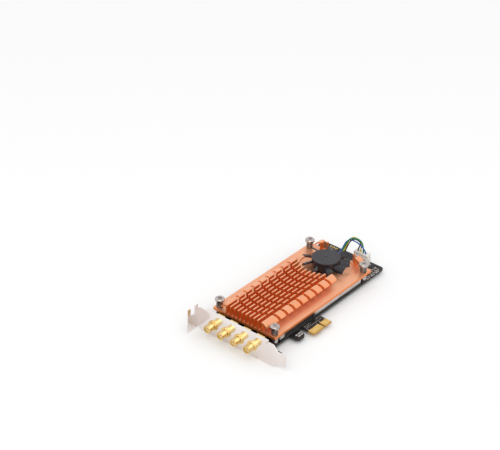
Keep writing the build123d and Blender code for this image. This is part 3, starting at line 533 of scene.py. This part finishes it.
def eased(node: str, edge_mm: float, reshape: Callable[[BMesh], None] | None = None) -> Mesh:
    """Copy a CAD node and round its sharp edges a little, as making and plating leave them.

    Args:
        node: Name of the node.
        edge_mm: Width of the rounding.
        reshape: Change to the copy before its edges are rounded.

    Returns:
        The eased mesh.
    """
    shell = merged(node)
    if reshape:
        reshape(shell)
    bmesh.ops.dissolve_limit(shell, angle_limit=FLAT, verts=shell.verts, edges=shell.edges)
    shell.verts.index_update()
    sharp = {frozenset(v.index for v in edge.verts) for edge in shell.edges
             if edge.calc_face_angle(0.0) > SHARP}
    knots = {vert.index for vert in shell.verts if knotted(vert)}
    mesh = bpy.data.meshes.new(node + "_copy")
    mesh.from_pydata([v.co for v in shell.verts], [], [[v.index for v in f.verts] for f in shell.faces])
    shell.free()
    mesh.shade_smooth()
    mesh.attributes.new("bevel_weight_edge", "FLOAT", "EDGE")
    mesh.attributes.new("sharp_edge", "BOOLEAN", "EDGE")
    for edge in mesh.edges:
        ends = frozenset(edge.vertices)
        tied = bool(ends & knots)
        mesh.attributes["bevel_weight_edge"].data[edge.index].value = float(ends in sharp and not tied)
        mesh.attributes["sharp_edge"].data[edge.index].value = ends in sharp and tied
    carrier = linked(node + "_carrier", mesh)
    bevel = carrier.modifiers.new("edges", "BEVEL")
    bevel.width = edge_mm * MM
    bevel.segments = 2
    bevel.limit_method = "WEIGHT"
    bevel.use_clamp_overlap = False
    carrier.modifiers.new("shading", "WEIGHTED_NORMAL").keep_sharp = True
    return settle(carrier)


def remake(node: str, how: str, edge_mm: float, finish: Finish, body: Body = Body.CARD) -> Object:
    """Put an eased copy of a CAD node in its stead.

    Args:
        node: Name of the node.
        how: How the piece was made, for its name.
        edge_mm: Width of the rounding.
        finish: Finish of the piece.
        body: Body that carries it.

    Returns:
        The piece.
    """
    return place(f"{node}_{how}", eased(node, edge_mm), finish, node, body=body)


class Pattern:
    """Geometry Nodes tree that sets one shape on each of a list of points.

    Attributes:
        plain: Inputs that are plain numbers and not sizes.
    """

    plain = ("turns", "power")

    def __init__(self, name: str, **sizes: float) -> None:
        """Start the tree with its named inputs.

        Args:
            name: Name of the tree.
            **sizes: Named sizes in millimetres, or plain numbers.
        """
        self.name = name
        self.sizes = sizes
        self.tree = bpy.data.node_groups.new(name, "GeometryNodeTree")
        face = self.tree.interface
        self.keys = {}
        for label, kind in {"points": "Geometry", "turn": "Vector", **dict.fromkeys(sizes, "Float")}.items():
            socket = face.new_socket(label, in_out="INPUT", socket_type=f"NodeSocket{kind}")
            self.keys[label] = socket.identifier
        face.new_socket("pieces", in_out="OUTPUT", socket_type="NodeSocketGeometry")
        self.entry = add(self.tree, "NodeGroupInput").outputs

    def shape(self) -> Node:
        """Build one shape, centred on its point."""
        raise NotImplementedError

    def mesh(self, points: Iterable[Sequence[float]], turn: Sequence[float] = (0.0, 0.0, 0.0)) -> Mesh:
        """Set the shape on every point.

        Args:
            points: Places in metres.
            turn: Turn of every shape about X, Y and Z, in degrees.

        Returns:
            One plain mesh of all shapes.
        """
        spread = add(self.tree, "GeometryNodeInstanceOnPoints", {
            "Points": self.entry["points"], "Instance": self.shape(), "Rotation": self.entry["turn"]})
        real = add(self.tree, "GeometryNodeRealizeInstances", {"Geometry": spread})
        add(self.tree, "NodeGroupOutput", {"pieces": real})
        base = bpy.data.meshes.new(self.name + "_points")
        base.from_pydata([tuple(point) for point in points], [], [])
        carrier = linked(self.name + "_carrier", base)
        modifier = carrier.modifiers.new(self.name, "NODES")
        modifier.node_group = self.tree
        modifier[self.keys["turn"]] = [math.radians(angle) for angle in turn]
        for label, size in self.sizes.items():
            modifier[self.keys[label]] = size * (1.0 if label in self.plain else MM)
        return settle(carrier)


class Coils(Pattern):
    """Wire or ridge wound round the Z axis; needs radius, height, turns and wire."""

    sides = 8
    steps = 32

    def shape(self) -> Node:
        """Sweep a small ring along a spiral."""
        spiral = add(self.tree, "GeometryNodeCurveSpiral", {
            "Resolution": self.steps, "Rotations": self.entry["turns"], "Start Radius": self.entry["radius"],
            "End Radius": self.entry["radius"], "Height": self.entry["height"]})
        upright = add(self.tree, "GeometryNodeSetCurveNormal", {"Curve": spiral}, mode="Z_UP")
        wire = add(self.tree, "GeometryNodeCurvePrimitiveCircle", {
            "Resolution": self.sides, "Radius": self.entry["wire"]})
        swept = add(self.tree, "GeometryNodeCurveToMesh", {
            "Curve": upright, "Profile Curve": wire, "Fill Caps": True})
        return add(self.tree, "GeometryNodeSetShadeSmooth", {"Geometry": swept, "Shade Smooth": self.sides > 3})


class Ridges(Coils):
    """Screw thread: a three-sided ridge wound round the Z axis."""

    sides = 3
    steps = 40


class Mounds(Pattern):
    """Hollow-sided solder joint on a leg; needs foot, tip, height and power."""

    sides = 14
    steps = 7

    def shape(self) -> Node:
        """Sweep a ring up a line and let it shrink fast at first."""
        rise = add(self.tree, "ShaderNodeCombineXYZ", {"Z": self.entry["height"]})
        line = add(self.tree, "GeometryNodeCurvePrimitiveLine", {"End": rise})
        steps = add(self.tree, "GeometryNodeResampleCurve", {"Curve": line, "Count": self.steps})
        along = add(self.tree, "GeometryNodeSplineParameter").outputs["Factor"]
        eager = add(self.tree, "ShaderNodeMath", {0: along, 1: self.entry["power"]}, operation="POWER")
        width = add(self.tree, "ShaderNodeMapRange", {0: eager, 3: self.entry["foot"], 4: self.entry["tip"]})
        ring = add(self.tree, "GeometryNodeCurvePrimitiveCircle", {"Resolution": self.sides, "Radius": 1.0})
        swept = add(self.tree, "GeometryNodeCurveToMesh", {
            "Curve": steps, "Profile Curve": ring, "Scale": width, "Fill Caps": True})
        return add(self.tree, "GeometryNodeSetShadeSmooth", {"Geometry": swept})


class Domes(Pattern):
    """Low round bump with its axis along Z; needs radius and height."""

    sides = 12
    rings = 8

    def shape(self) -> Node:
        """Flatten a small ball."""
        ball = add(self.tree, "GeometryNodeMeshUVSphere", {"Segments": self.sides, "Rings": self.rings})
        size = add(self.tree, "ShaderNodeCombineXYZ", {
            "X": self.entry["radius"], "Y": self.entry["radius"], "Z": self.entry["height"]})
        low = add(self.tree, "GeometryNodeTransform", {"Geometry": ball, "Scale": size})
        return add(self.tree, "GeometryNodeSetShadeSmooth", {"Geometry": low})


class Blocks(Pattern):
    """Small square part; needs length, width and height along X, Y and Z."""

    def shape(self) -> Node:
        """Make one block."""
        size = add(self.tree, "ShaderNodeCombineXYZ", {
            "X": self.entry["length"], "Y": self.entry["width"], "Z": self.entry["height"]})
        return add(self.tree, "GeometryNodeMeshCube", {"Size": size})


class Strips:
    """Thin printed or etched strips on one face of the board.

    Attributes:
        sunk: How far they reach into the board, in millimetres.
        mitre: Limit to the widening of a corner, as the cosine of half its turn.
    """

    sunk = 0.01
    mitre = 0.4

    def __init__(self, level: float, rise: float) -> None:
        """Choose the face.

        Args:
            level: Height of the board's face in millimetres.
            rise: Height of the strips above it; negative under the board.
        """
        self.top = level + rise
        self.bottom = level - math.copysign(self.sunk, rise)
        self.shell = bmesh.new()

    def line(self, points: Sequence[tuple[float, float]], width: float) -> None:
        """Draw a strip along corner points.

        Args:
            points: Corners in plan, in millimetres.
            width: Width of the strip.
        """
        flat = [Vector(point) for point in points]
        ways = [(b - a).normalized() for a, b in zip(flat, flat[1:])]
        rows = []
        for index, point in enumerate(flat):
            before, after = ways[max(index - 1, 0)], ways[min(index, len(ways) - 1)]
            across = (before + after).normalized().orthogonal()
            across *= width / 2 / max(self.mitre, abs(across.dot(before.orthogonal())))
            corners = [(point + side * across, z) for side in (1, -1) for z in (self.top, self.bottom)]
            rows.append([self.shell.verts.new((p.x * MM, p.y * MM, z * MM)) for p, z in corners])
        for here, there in zip(rows, rows[1:]):
            for a, b in ((0, 2), (2, 3), (3, 1), (1, 0)):
                self.shell.faces.new((here[a], here[b], there[b], there[a]))
        for end in (rows[0], rows[-1]):
            self.shell.faces.new((end[0], end[1], end[3], end[2]))

    def outline(self, low: tuple[float, float], high: tuple[float, float], width: float,
                gap: float = 0.0) -> None:
        """Draw a frame, or only its four corners.

        Args:
            low: Lowest corner in plan.
            high: Highest corner in plan.
            width: Width of the line.
            gap: Length that is left open in the middle of each side.
        """
        corners = [Vector(spot) for spot in (low, (high[0], low[1]), high, (low[0], high[1]))]
        for start, stop in zip(corners, corners[1:] + corners[:1]):
            side = stop - start
            arm = side.normalized() * (side.length - gap) / 2
            for ends in [(start, start + arm), (stop - arm, stop)] if gap else [(start, stop)]:
                self.line(ends, width)

    def mesh(self, name: str) -> Mesh:
        """Close the strips into one mesh with outward faces."""
        bmesh.ops.recalc_face_normals(self.shell, faces=self.shell.faces)
        mesh = bpy.data.meshes.new(name)
        self.shell.to_mesh(mesh)
        self.shell.free()
        return mesh


@dataclass
class Studio:
    """Plain pale floor, soft light and a camera at the photograph's angle.

    Attributes:
        camera_at: Place of the camera in millimetres.
        azimuth: Turn of the camera round the card, in degrees.
        elevation: Height of the camera over the board's plane, in degrees.
        roll: Turn of the camera about its own axis, in degrees.
        lens: Focal length for a 36 mm wide frame.
        floor_size: Side of the floor in metres.
        wall_rise: Sine of the elevation at which the walls begin to brighten, and where they are brightest.
        wall_light: Strength of the walls there.
        aim: Point that the lamps face, in metres.
        lamps: Name, place in metres, side in metres and power in watts of each softbox.
    """

    camera_at: Triple = (-717.01, -504.07, 629.52)
    azimuth: float = -51.27
    elevation: float = 31.996
    roll: float = 1.7009
    lens: float = 108.947
    floor_size: float = 8.0
    wall_rise: tuple[float, float] = (-0.05, 0.5)
    wall_light: tuple[float, float] = (0.3, 0.95)
    aim: Triple = (0.015, 0.035, 0.0)
    lamps: tuple[tuple[str, Triple, float, float], ...] = (
        ("key_softbox", (-0.95, -0.55, 1.25), 1.5, 7.0), ("fill_softbox", (0.9, -1.1, 0.9), 1.2, 0.8))

    def clear(self) -> None:
        """Remove what a fresh file holds beside the frame."""
        kept = {*frame["nodes"].values(), *frame["bodies"].values()}
        for spare in [thing for thing in bpy.data.objects if thing not in kept]:
            bpy.data.objects.remove(spare)

    def build(self) -> None:
        """Set up camera, floor, lamps and surroundings."""
        self.set_camera()
        self.lay_floor()
        for lamp in self.lamps:
            self.hang_lamp(*lamp)
        self.surround()
        bpy.context.scene.view_settings.view_transform = "Standard"

    def set_camera(self) -> None:
        """Place the camera."""
        turn, rise = math.radians(self.azimuth), math.radians(self.elevation)
        data = bpy.data.cameras.new("photo_camera")
        data.lens = self.lens
        data.sensor_width = 36.0
        data.clip_start, data.clip_end = 0.01, 50.0
        camera = linked("photo_camera", data)
        camera.location = Vector(self.camera_at) * MM
        camera.rotation_mode = "QUATERNION"
        upright = Euler((math.pi / 2 - rise, 0.0, turn)).to_quaternion()
        camera.rotation_quaternion = upright @ Quaternion((0.0, 0.0, 1.0), math.radians(self.roll))
        bpy.context.scene.camera = camera

    def lay_floor(self) -> None:
        """Lay a pale floor under the card's lowest edge, seen from above only."""
        half, level = self.floor_size / 2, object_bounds()[0].z
        mesh = bpy.data.meshes.new("studio_floor")
        corners = [(-half, -half, level), (half, -half, level), (half, half, level), (-half, half, level)]
        mesh.from_pydata(corners, [], [(0, 1, 2, 3)])
        paper = bpy.data.materials.new("matt_white_paper")
        tree = bare_tree(paper)
        coat = add(tree, "ShaderNodeBsdfDiffuse", {"Color": linear("#FAFAFA")})
        clear = add(tree, "ShaderNodeBsdfTransparent")
        under = add(tree, "ShaderNodeNewGeometry").outputs["Backfacing"]
        both = add(tree, "ShaderNodeMixShader", {0: under, 1: coat, 2: clear})
        add(tree, "ShaderNodeOutputMaterial", {"Surface": both})
        mesh.materials.append(paper)
        linked("studio_floor", mesh)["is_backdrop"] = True

    def hang_lamp(self, name: str, spot: Triple, size: float, watts: float) -> None:
        """Hang a square softbox that faces the card.

        Args:
            name: Name of the lamp.
            spot: Place in metres.
            size: Side of the softbox.
            watts: Power.
        """
        data = bpy.data.lights.new(name, "AREA")
        data.size = size
        data.energy = watts
        lamp = linked(name, data)
        lamp.location = spot
        way = Vector(self.aim) - lamp.location
        lamp.rotation_euler = way.to_track_quat("-Z", "Y").to_euler()

    def surround(self) -> None:
        """Surround the card with pale walls, darker near the ground so that metal has contrast."""
        world = bpy.data.worlds.new("pale_room")
        bpy.context.scene.world = world
        tree = bare_tree(world)
        way = add(tree, "ShaderNodeTexCoord").outputs["Generated"]
        rise = add(tree, "ShaderNodeSeparateXYZ", {0: way}).outputs["Z"]
        ramp = dict(enumerate((rise, *self.wall_rise, *self.wall_light)))
        wall = add(tree, "ShaderNodeMapRange", ramp, interpolation_type="SMOOTHSTEP")
        room, white = (add(tree, "ShaderNodeBackground", {"Color": linear("#FFFFFF"), "Strength": strength})
                       for strength in (wall, 1.0))
        path = add(tree, "ShaderNodeLightPath").outputs
        seen = path["Is Camera Ray"]
        for kind in ("Is Glossy Ray", "Is Transmission Ray"):
            seen = add(tree, "ShaderNodeMath", {0: seen, 1: path[kind]}, operation="MAXIMUM")
        both = add(tree, "ShaderNodeMixShader", {0: seen, 1: room, 2: white})
        add(tree, "ShaderNodeOutputWorld", {"Surface": both})


@dataclass
class CircuitBoard:
    """Black board with its contact tongue, printed marks, tracks and solder joints.

    Attributes:
        under: Height of the lower face in millimetres.
        ink_rise: Thickness of the printed ink.
        track_rise: Height of the copper tracks under the mask.
        ink_line: Width of a printed line.
        track: Width of a track.
        via_pitch: Distance between the plugged holes along the edges.
        gather: Share by which the tracks of the contacts draw together.
        middle_y: Line to which the tracks of the jacks draw together.
        comb: Tracks in one group under the contacts.
    """

    under: float = -1.57
    ink_rise: float = 0.02
    track_rise: float = 0.025
    ink_line: float = 0.28
    track: float = 0.32
    via_pitch: float = 3.2
    gather: float = 0.042
    middle_y: float = 40.5
    comb: int = 9

    def build(self) -> None:
        """Dress the board and everything printed, etched or soldered on it."""
        dress(BLACK_MASK, "circuit_board")
        dress(GOLD_CONTACT, "edge_contacts_top", "edge_contacts_bottom", "hole_rings")
        place("board_ink", self.ink(), WHITE_INK)
        place("board_tracks_top", self.tracks_top(), TRACK_MASK)
        place("board_tracks_under", self.tracks_under(), TRACK_MASK)
        vias = Domes("plugged_vias", radius=0.35, height=0.03)
        place("board_plugged_vias", vias.mesh(self.via_places()), TRACK_MASK)
        self.solder()

    def ink(self) -> Mesh:
        """Print outlines and plain bars where the board shows white marks."""
        print_on = Strips(0.0, self.ink_rise)
        for (x, y), lengths, step, width in PRINTED_BARS:
            for index, length in enumerate(lengths):
                print_on.line([(x + index * step, y), (x + index * step + length, y)], width)
        print_on.line([(-11.2, 8.1), (6.6, 8.1)], self.ink_line)
        low, high = span_of("fan_header")
        print_on.outline((low.x - 0.6, low.y - 0.6), (high.x + 0.6, high.y + 0.6), self.ink_line)
        print_on.line([(low.x - 1.5, low.y + 1.2), (low.x - 1.5, low.y + 3.0)], 0.6)
        for low, high in spans("power_inductors"):
            print_on.outline((low.x - 0.5, low.y - 0.5), (high.x + 0.5, high.y + 0.5), self.ink_line, 2.6)
        for low, high in spans("chip_capacitors"):
            for x in (low.x - 0.5, high.x + 0.5):
                print_on.line([(x, low.y + 0.2), (x, high.y - 0.2)], 0.2)
        for low, high in spans("hole_rings"):
            print_on.line([(low.x - 0.7, low.y + 0.3), (low.x - 0.7, high.y - 0.3)], 0.25)
        return print_on.mesh("board_ink")

    def tracks_top(self) -> Mesh:
        """Lead tracks from the contacts and the fan connector under the heat sink."""
        etch = Strips(0.0, self.track_rise)
        for low, high in spans("edge_contacts_top"):
            x, y = (low.x + high.x) / 2, high.y
            inner = x - self.gather * (x + 2.0)
            etch.line([(x, y - 0.1), (x, y + 1.4), (inner, y + 3.4), (inner, 14.5)], self.track)
        for index, (low, high) in enumerate(spans("header_pins")):
            y = (low.y + high.y) / 2
            etch.line([(82.6, y), (79.2, y), (77.2 - index * 0.4, y + 2.0), (71.5, y + 2.0)], 0.6)
        for low, high in spans("power_inductors"):
            y = (low.y + high.y) / 2
            etch.line([(79.0, y), (84.0, y), (85.4, y + 1.4), (88.4, y + 1.4)], 1.4)
            etch.line([(75.0, y), (71.5, y)], 1.8)
        for row in range(7):
            y, down = 61.6 + row * 0.9, 0.4 * row
            etch.line([(72.0, y), (76.0 + row, y), (79.0 + row * 0.6, y - down), (84.6, y - down)], 0.3)
        return etch.mesh("board_tracks_top")

    def tracks_under(self) -> Mesh:
        """Lead tracks from contacts, jacks and connectors across the lower face."""
        etch = Strips(self.under, -self.track_rise)
        for index, (low, high) in enumerate(spans("edge_contacts_bottom")):
            x, y = (low.x + high.x) / 2, high.y
            tooth = index % self.comb
            reach, bend = 20.0 + 1.1 * tooth, y + 3.0 + 0.8 * tooth
            lean = reach * 0.5 if index < 11 else -reach * 0.4
            etch.line([(x, y - 0.1), (x, bend), (x - lean, bend + abs(lean)),
                       (x - lean, y + reach + 14.0)], self.track)
        for jack in JACKS:
            legs = low_ends(jack)
            x, y, _ = sum(legs, Vector()) / len(legs) / MM
            bend = (self.middle_y - y) * 0.35
            etch.line([(x + 4.4, y), (x + 11.0, y), (x + 11.0 + abs(bend), y + bend), (-22.0, y + bend)], 0.7)
        for index, (low, high) in enumerate(spans("header_pins")):
            y = (low.y + high.y) / 2
            up = y + 4.0 + index
            etch.line([(83.5, y), (80.0, y), (76.0 - index, up), (40.0 + 4 * index, up)], 0.5)
        for row in range(6):
            y = 60.0 + 1.2 * row
            etch.line([(-30.0 + 3 * row, y), (10.0, y), (14.0, y - 4.0), (62.0 - 5 * row, y - 4.0)],
                      self.track)
        return etch.mesh("board_tracks_under")

    def via_places(self) -> list[Vector]:
        """Plugged holes along the free edges, on both faces."""
        high, pitch = span_of("circuit_board")[1], self.via_pitch
        up = [14.0 + index * pitch for index in range(int((high.y - 14.0) / pitch))]
        places = [(75.5 + index * pitch, high.y - 1.0) for index in range(int((high.x - 74.5) / pitch))]
        places += [(high.x - 0.9, y) for y in up if not 53.0 < y < 62.0]
        places += [spot for y in up for spot in ((-44.4, y - 0.4), (-43.0, y + 1.2))]
        under = [(-52.0 + index * pitch, high.y - 1.0) for index in range(44)]
        under += [(12.0 + index * pitch, 13.2) for index in range(24)]
        faces = ((0.0, places), (self.under, places + under))
        return [Vector((x, y, z)) * MM for z, spots in faces for x, y in spots]

    def solder(self) -> None:
        """Solder the legs of the jacks and of the fan connector under the board."""
        legs = [leg for jack in JACKS for leg in low_ends(jack)]
        pins = low_ends("header_pins", 0.6 * MM)
        for name, ends, (foot, tip, height) in (("jack", legs, (1.35, 0.55, 0.95)),
                                                ("header", pins, (0.85, 0.34, 0.75))):
            joint = Mounds(f"{name}_solder", foot=foot, tip=tip, height=height, power=0.45)
            spots = [(end.x, end.y, self.under * MM) for end in ends]
            place(f"{name}_solder_joints", joint.mesh(spots, (180.0, 0.0, 0.0)), SOLDER)


@dataclass
class BracketAndJacks:
    """Folded steel bracket and its row of gold antenna jacks with cut threads, nuts and washers.

    Attributes:
        crest: Outer radius of the thread in millimetres.
        root: Radius at the bottom of the thread.
        pitch: Advance of the thread in one turn.
        axis_z: Height of the jacks' axis.
        ridge: Radius of the three-sided ridge that is wound into the thread.
        lead_in: Plain length at the mouth before the thread starts.
        edge: Rounding of the jacks' edges.
        sheet_edge: Rounding of the bracket's stamped edges.
    """

    crest: float = 3.175
    root: float = 2.8
    pitch: float = 0.7056
    axis_z: float = 4.8
    ridge: float = 0.4
    lead_in: float = 0.45
    edge: float = 0.1
    sheet_edge: float = 0.12

    def build(self) -> None:
        """Ease the bracket, cut the threads and dress every part of the jacks."""
        remake("io_bracket", "plated", self.sheet_edge, NICKEL_SHEET)
        rows = sorted((low.y + high.y) / 2 for low, high in solids("jack_nuts"))
        front = min(low.x for low, high in solids("jack_nuts"))
        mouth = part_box(JACKS[0])[0].x
        for node in JACKS:
            low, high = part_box(node)
            middle = min(rows, key=lambda row: abs(row - (low.y + high.y) / 2))
            bared = eased(node, self.edge, lambda shell, y=middle: self.bare(shell, y, front))
            place(f"{node}_turned", bared, GOLD_BRASS, node)
        run = (front - mouth) / MM - self.lead_in - 0.1
        thread = Ridges("jack_thread", radius=self.crest - self.ridge - 0.01, height=run,
                        turns=run / self.pitch, wire=self.ridge)
        starts = [(mouth + self.lead_in * MM, row, self.axis_z * MM) for row in rows]
        place("jack_threads", thread.mesh(starts, (0.0, 90.0, 0.0)), GOLD_BRASS)
        remake("jack_nuts", "plated", 0.18, GOLD_BRASS)
        remake("jack_washers", "plated", 0.08, GOLD_BRASS)
        dress(WHITE_PTFE, "jack_insulators")
        dress(GOLD_CONTACT, "jack_center_pins")

    def bare(self, shell: BMesh, y: float, front: float) -> None:
        """Take a jack's barrel down to the root of its thread.

        Args:
            shell: Copy of the jack.
            y: Place of its axis.
            front: Where the nut begins.
        """
        for vert in shell.verts:
            off = Vector((vert.co.y - y, vert.co.z - self.axis_z * MM))
            if vert.co.x < front + MERGE and off.length > self.root * MM:
                off *= self.root * MM / off.length
                vert.co.y, vert.co.z = y + off.x, self.axis_z * MM + off.y
        bmesh.ops.remove_doubles(shell, verts=shell.verts, dist=MERGE)
        bmesh.ops.dissolve_degenerate(shell, edges=shell.edges, dist=MERGE)


@dataclass
class Cooler:
    """Finned heat sink with its spring screws.

    Attributes:
        edge: Rounding of the fins' edges in millimetres.
        wire: Thickness of the spring wire.
        turns: Turns of each spring.
    """

    edge: float = 0.12
    wire: float = 0.55
    turns: float = 5.0

    def build(self) -> None:
        """Ease the heat sink and wind the springs."""
        remake("heat_sink", "anodised", self.edge, COPPER_ALUMINIUM)
        remake("heat_sink_screws", "plated", 0.14, NICKEL_SCREW)
        remake("screw_standoffs", "plated", 0.15, NICKEL_SCREW)
        boxes = solids("screw_springs")
        low, high = boxes[0]
        coil = Coils("screw_spring", radius=(high.x - low.x) / 2 / MM - self.wire / 2,
                     height=(high.z - low.z) / MM - self.wire, turns=self.turns, wire=self.wire / 2)
        feet = [((a.x + b.x) / 2, (a.y + b.y) / 2, a.z + self.wire / 2 * MM) for a, b in boxes]
        place("screw_springs_wound", coil.mesh(feet), SPRING_WIRE, "screw_springs")


@dataclass
class Fan:
    """Small blower in the heat sink's round pocket.

    Attributes:
        edge: Rounding of the moulded edges in millimetres.
    """

    edge: float = 0.06

    def build(self) -> None:
        """Dress rotor, motor and base."""
        remake("fan_rotor", "moulded", self.edge, FAN_POLYESTER, Body.ROTOR)
        dress(FAN_POLYESTER, "fan_base")
        dress(MOTOR_IRON, "rotor_yoke", "rotor_magnet", "stator_core")
        dress(ENAMEL_WIRE, "stator_windings")
        dress(BRONZE, "bearing_sleeve")
        dress(GROUND_STEEL, "fan_shaft")
        dress(MODULE_LAMINATE, "fan_driver_board")
        dress(GAP_PAD, "fan_adhesive")


@dataclass
class FanWiring:
    """Four loose wires from the fan to its connector.

    Attributes:
        radius: Radius of a wire in millimetres.
        routes: Corner points of the blue, green, yellow and black wire, from the motor to the plug. The
        middle ones were moved to the line of each wire in the photo.
    """

    radius: float = 0.5
    routes: tuple[tuple[Triple, ...], ...] = (
        ((61.7, 41.7, 7.8), (70.2, 42.7, 7.8), (78.2, 43.9, 7.8), (80.4, 41.0, 18.3),
         (79.8, 31.0, 19.8), (83.5, 25.15, 11.8), (83.5, 25.15, 7.8)),
        ((61.7, 40.2, 7.8), (69.7, 41.2, 7.8), (77.0, 42.5, 7.8), (79.5, 38.6, 21.3),
         (81.5, 29.1, 21.7), (83.5, 27.65, 13.8), (83.5, 27.65, 7.8)),
        ((61.7, 38.7, 7.8), (69.2, 39.7, 7.8), (77.4, 41.5, 7.8), (80.8, 38.3, 22.1),
         (82.6, 29.1, 20.6), (83.5, 30.15, 11.9), (83.5, 30.15, 7.8)),
        ((61.7, 37.2, 7.8), (68.7, 38.2, 7.8), (75.6, 40.0, 7.8), (79.8, 36.5, 21.9),
         (84.1, 30.0, 17.6), (83.5, 32.65, 11.8), (83.5, 32.65, 7.8)))

    def build(self) -> None:
        """Dress the connector and lay the wires."""
        remake("fan_header", "moulded", 0.15, IVORY_NYLON)
        plug = remake("fan_plug", "moulded", 0.18, IVORY_NYLON)
        dress(SOLDER, "header_pins")
        for finish, route in zip(WIRE_PVC, self.routes):
            self.lay_wire([Vector(point) * MM for point in route], finish)

    def lay_wire(self, points: list[Vector], finish: Finish) -> None:
        """Lay one wire as a smooth spline through the pull of its corner points.

        Args:
            points: Corner points in metres.
            finish: Its insulation.
        """
        name = finish.slot.replace("wire_", "fan_wire_")
        curve = bpy.data.curves.new(name + "_laid", "CURVE")
        curve.dimensions = "3D"
        spline = curve.splines.new("NURBS")
        spline.points.add(len(points) - 1)
        for control, point in zip(spline.points, points):
            control.co = (*point, 1.0)
        spline.order_u = 3
        spline.use_endpoint_u = True
        spline.resolution_u = 16
        curve.resolution_u = 16
        piece = linked(name + "_laid", curve)
        line = bpy.data.meshes.new_from_object(piece)
        bpy.data.meshes.remove(line)
        curve.bevel_depth = self.radius * MM
        curve.bevel_resolution = 4
        curve.use_fill_caps = True
        curve.materials.append(finish.material())
        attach(piece, Body.CARD.value)
        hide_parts(name)


@dataclass
class RadioSection:
    """Edge socket with its radio module, and the large shield can.

    Attributes:
        lead_pitch: Distance between the socket's leads in millimetres.
        dimple_pitch: Distance between the dimples that hold the shield's lid.
    """

    lead_pitch: float = 0.8
    dimple_pitch: float = 1.9

    def build(self) -> None:
        """Dress the radio parts and add leads and dimples."""
        remake("module_socket", "moulded", 0.12, BLACK_NYLON)
        remake("shield_can", "stamped", 0.15, TIN_PLATE)
        low, high = span_of("module_socket")
        leads = Blocks("socket_lead", length=0.34, width=0.62, height=0.16)
        spots = [Vector((low.x + 0.9 + index * self.lead_pitch, low.y - 0.26, 0.08)) * MM
                 for index in range(int((high.x - low.x - 1.6) / self.lead_pitch))]
        place("socket_leads", leads.mesh(spots), SOLDER)
        low, high = span_of("shield_can")
        dimples = Domes("shield_dimple", radius=0.42, height=0.16)
        spots = [Vector((low.x + 1.6 + index * self.dimple_pitch, y, 2.6)) * MM for y in (low.y, high.y)
                 for index in range(int((high.x - low.x - 2.4) / self.dimple_pitch))]
        place("shield_dimples", dimples.mesh(spots, (90.0, 0.0, 0.0)), TIN_PLATE)
        dress(MODULE_LAMINATE, "radio_module_board")
        dress(TIN_PLATE, "module_shield")
        dress(GAP_PAD, "module_pad", "shield_pad")
        dress(NICKEL_SCREW, "module_posts", "module_screws")
        dress(CHIP_EPOXY, "radio_chip", "frontend_chips")


@dataclass
class SmallParts:
    """Regulator, inductors and chip parts on the open board.

    Attributes:
        ends: For each kind of chip part, the axis along which it lies, the size of a metal end along
            X, Y and Z, and how far the middle of that end lies inside, in millimetres.
    """

    ends: tuple[tuple[str, int, Triple, float], ...] = (
        ("capacitor", 1, (0.84, 0.35, 0.84), 0.16), ("resistor", 0, (0.24, 0.53, 0.38), 0.11))

    def build(self) -> None:
        """Dress the small parts and give them metal ends."""
        place("regulator_moulded", eased("regulator_chip", 0.1), CHIP_EPOXY, "regulator_chip")
        dress(GAP_PAD, "regulator_pad")
        remake("power_inductors", "moulded", 0.35, CHIP_EPOXY)
        remake("chip_capacitors", "fired", 0.08, CERAMIC)
        remake("chip_resistors", "fired", 0.05, CHIP_EPOXY)
        for kind, axis, (length, width, height), inset in self.ends:
            block = Blocks(f"{kind}_end", length=length, width=width, height=height)
            spots = []
            for low, high in spans(f"chip_{kind}s"):
                for edge in (low[axis] + inset, high[axis] - inset):
                    spot = (low + high) / 2
                    spot[axis], spot.z = edge, height / 2
                    spots.append(spot * MM)
            place(f"{kind}_ends", block.mesh(spots), SOLDER)


def main() -> None:
    """Build the studio and the card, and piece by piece."""
    logging.basicConfig(level=logging.INFO, format="%(name)s: %(message)s")
    studio = Studio()
    studio.clear()
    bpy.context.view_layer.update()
    studio.build()
    for kind in (CircuitBoard, BracketAndJacks, Cooler, Fan, FanWiring, RadioSection, SmallParts):
        kind().build()
        log.info("%s done", kind.__name__)


if __name__ == "__main__":
    main()
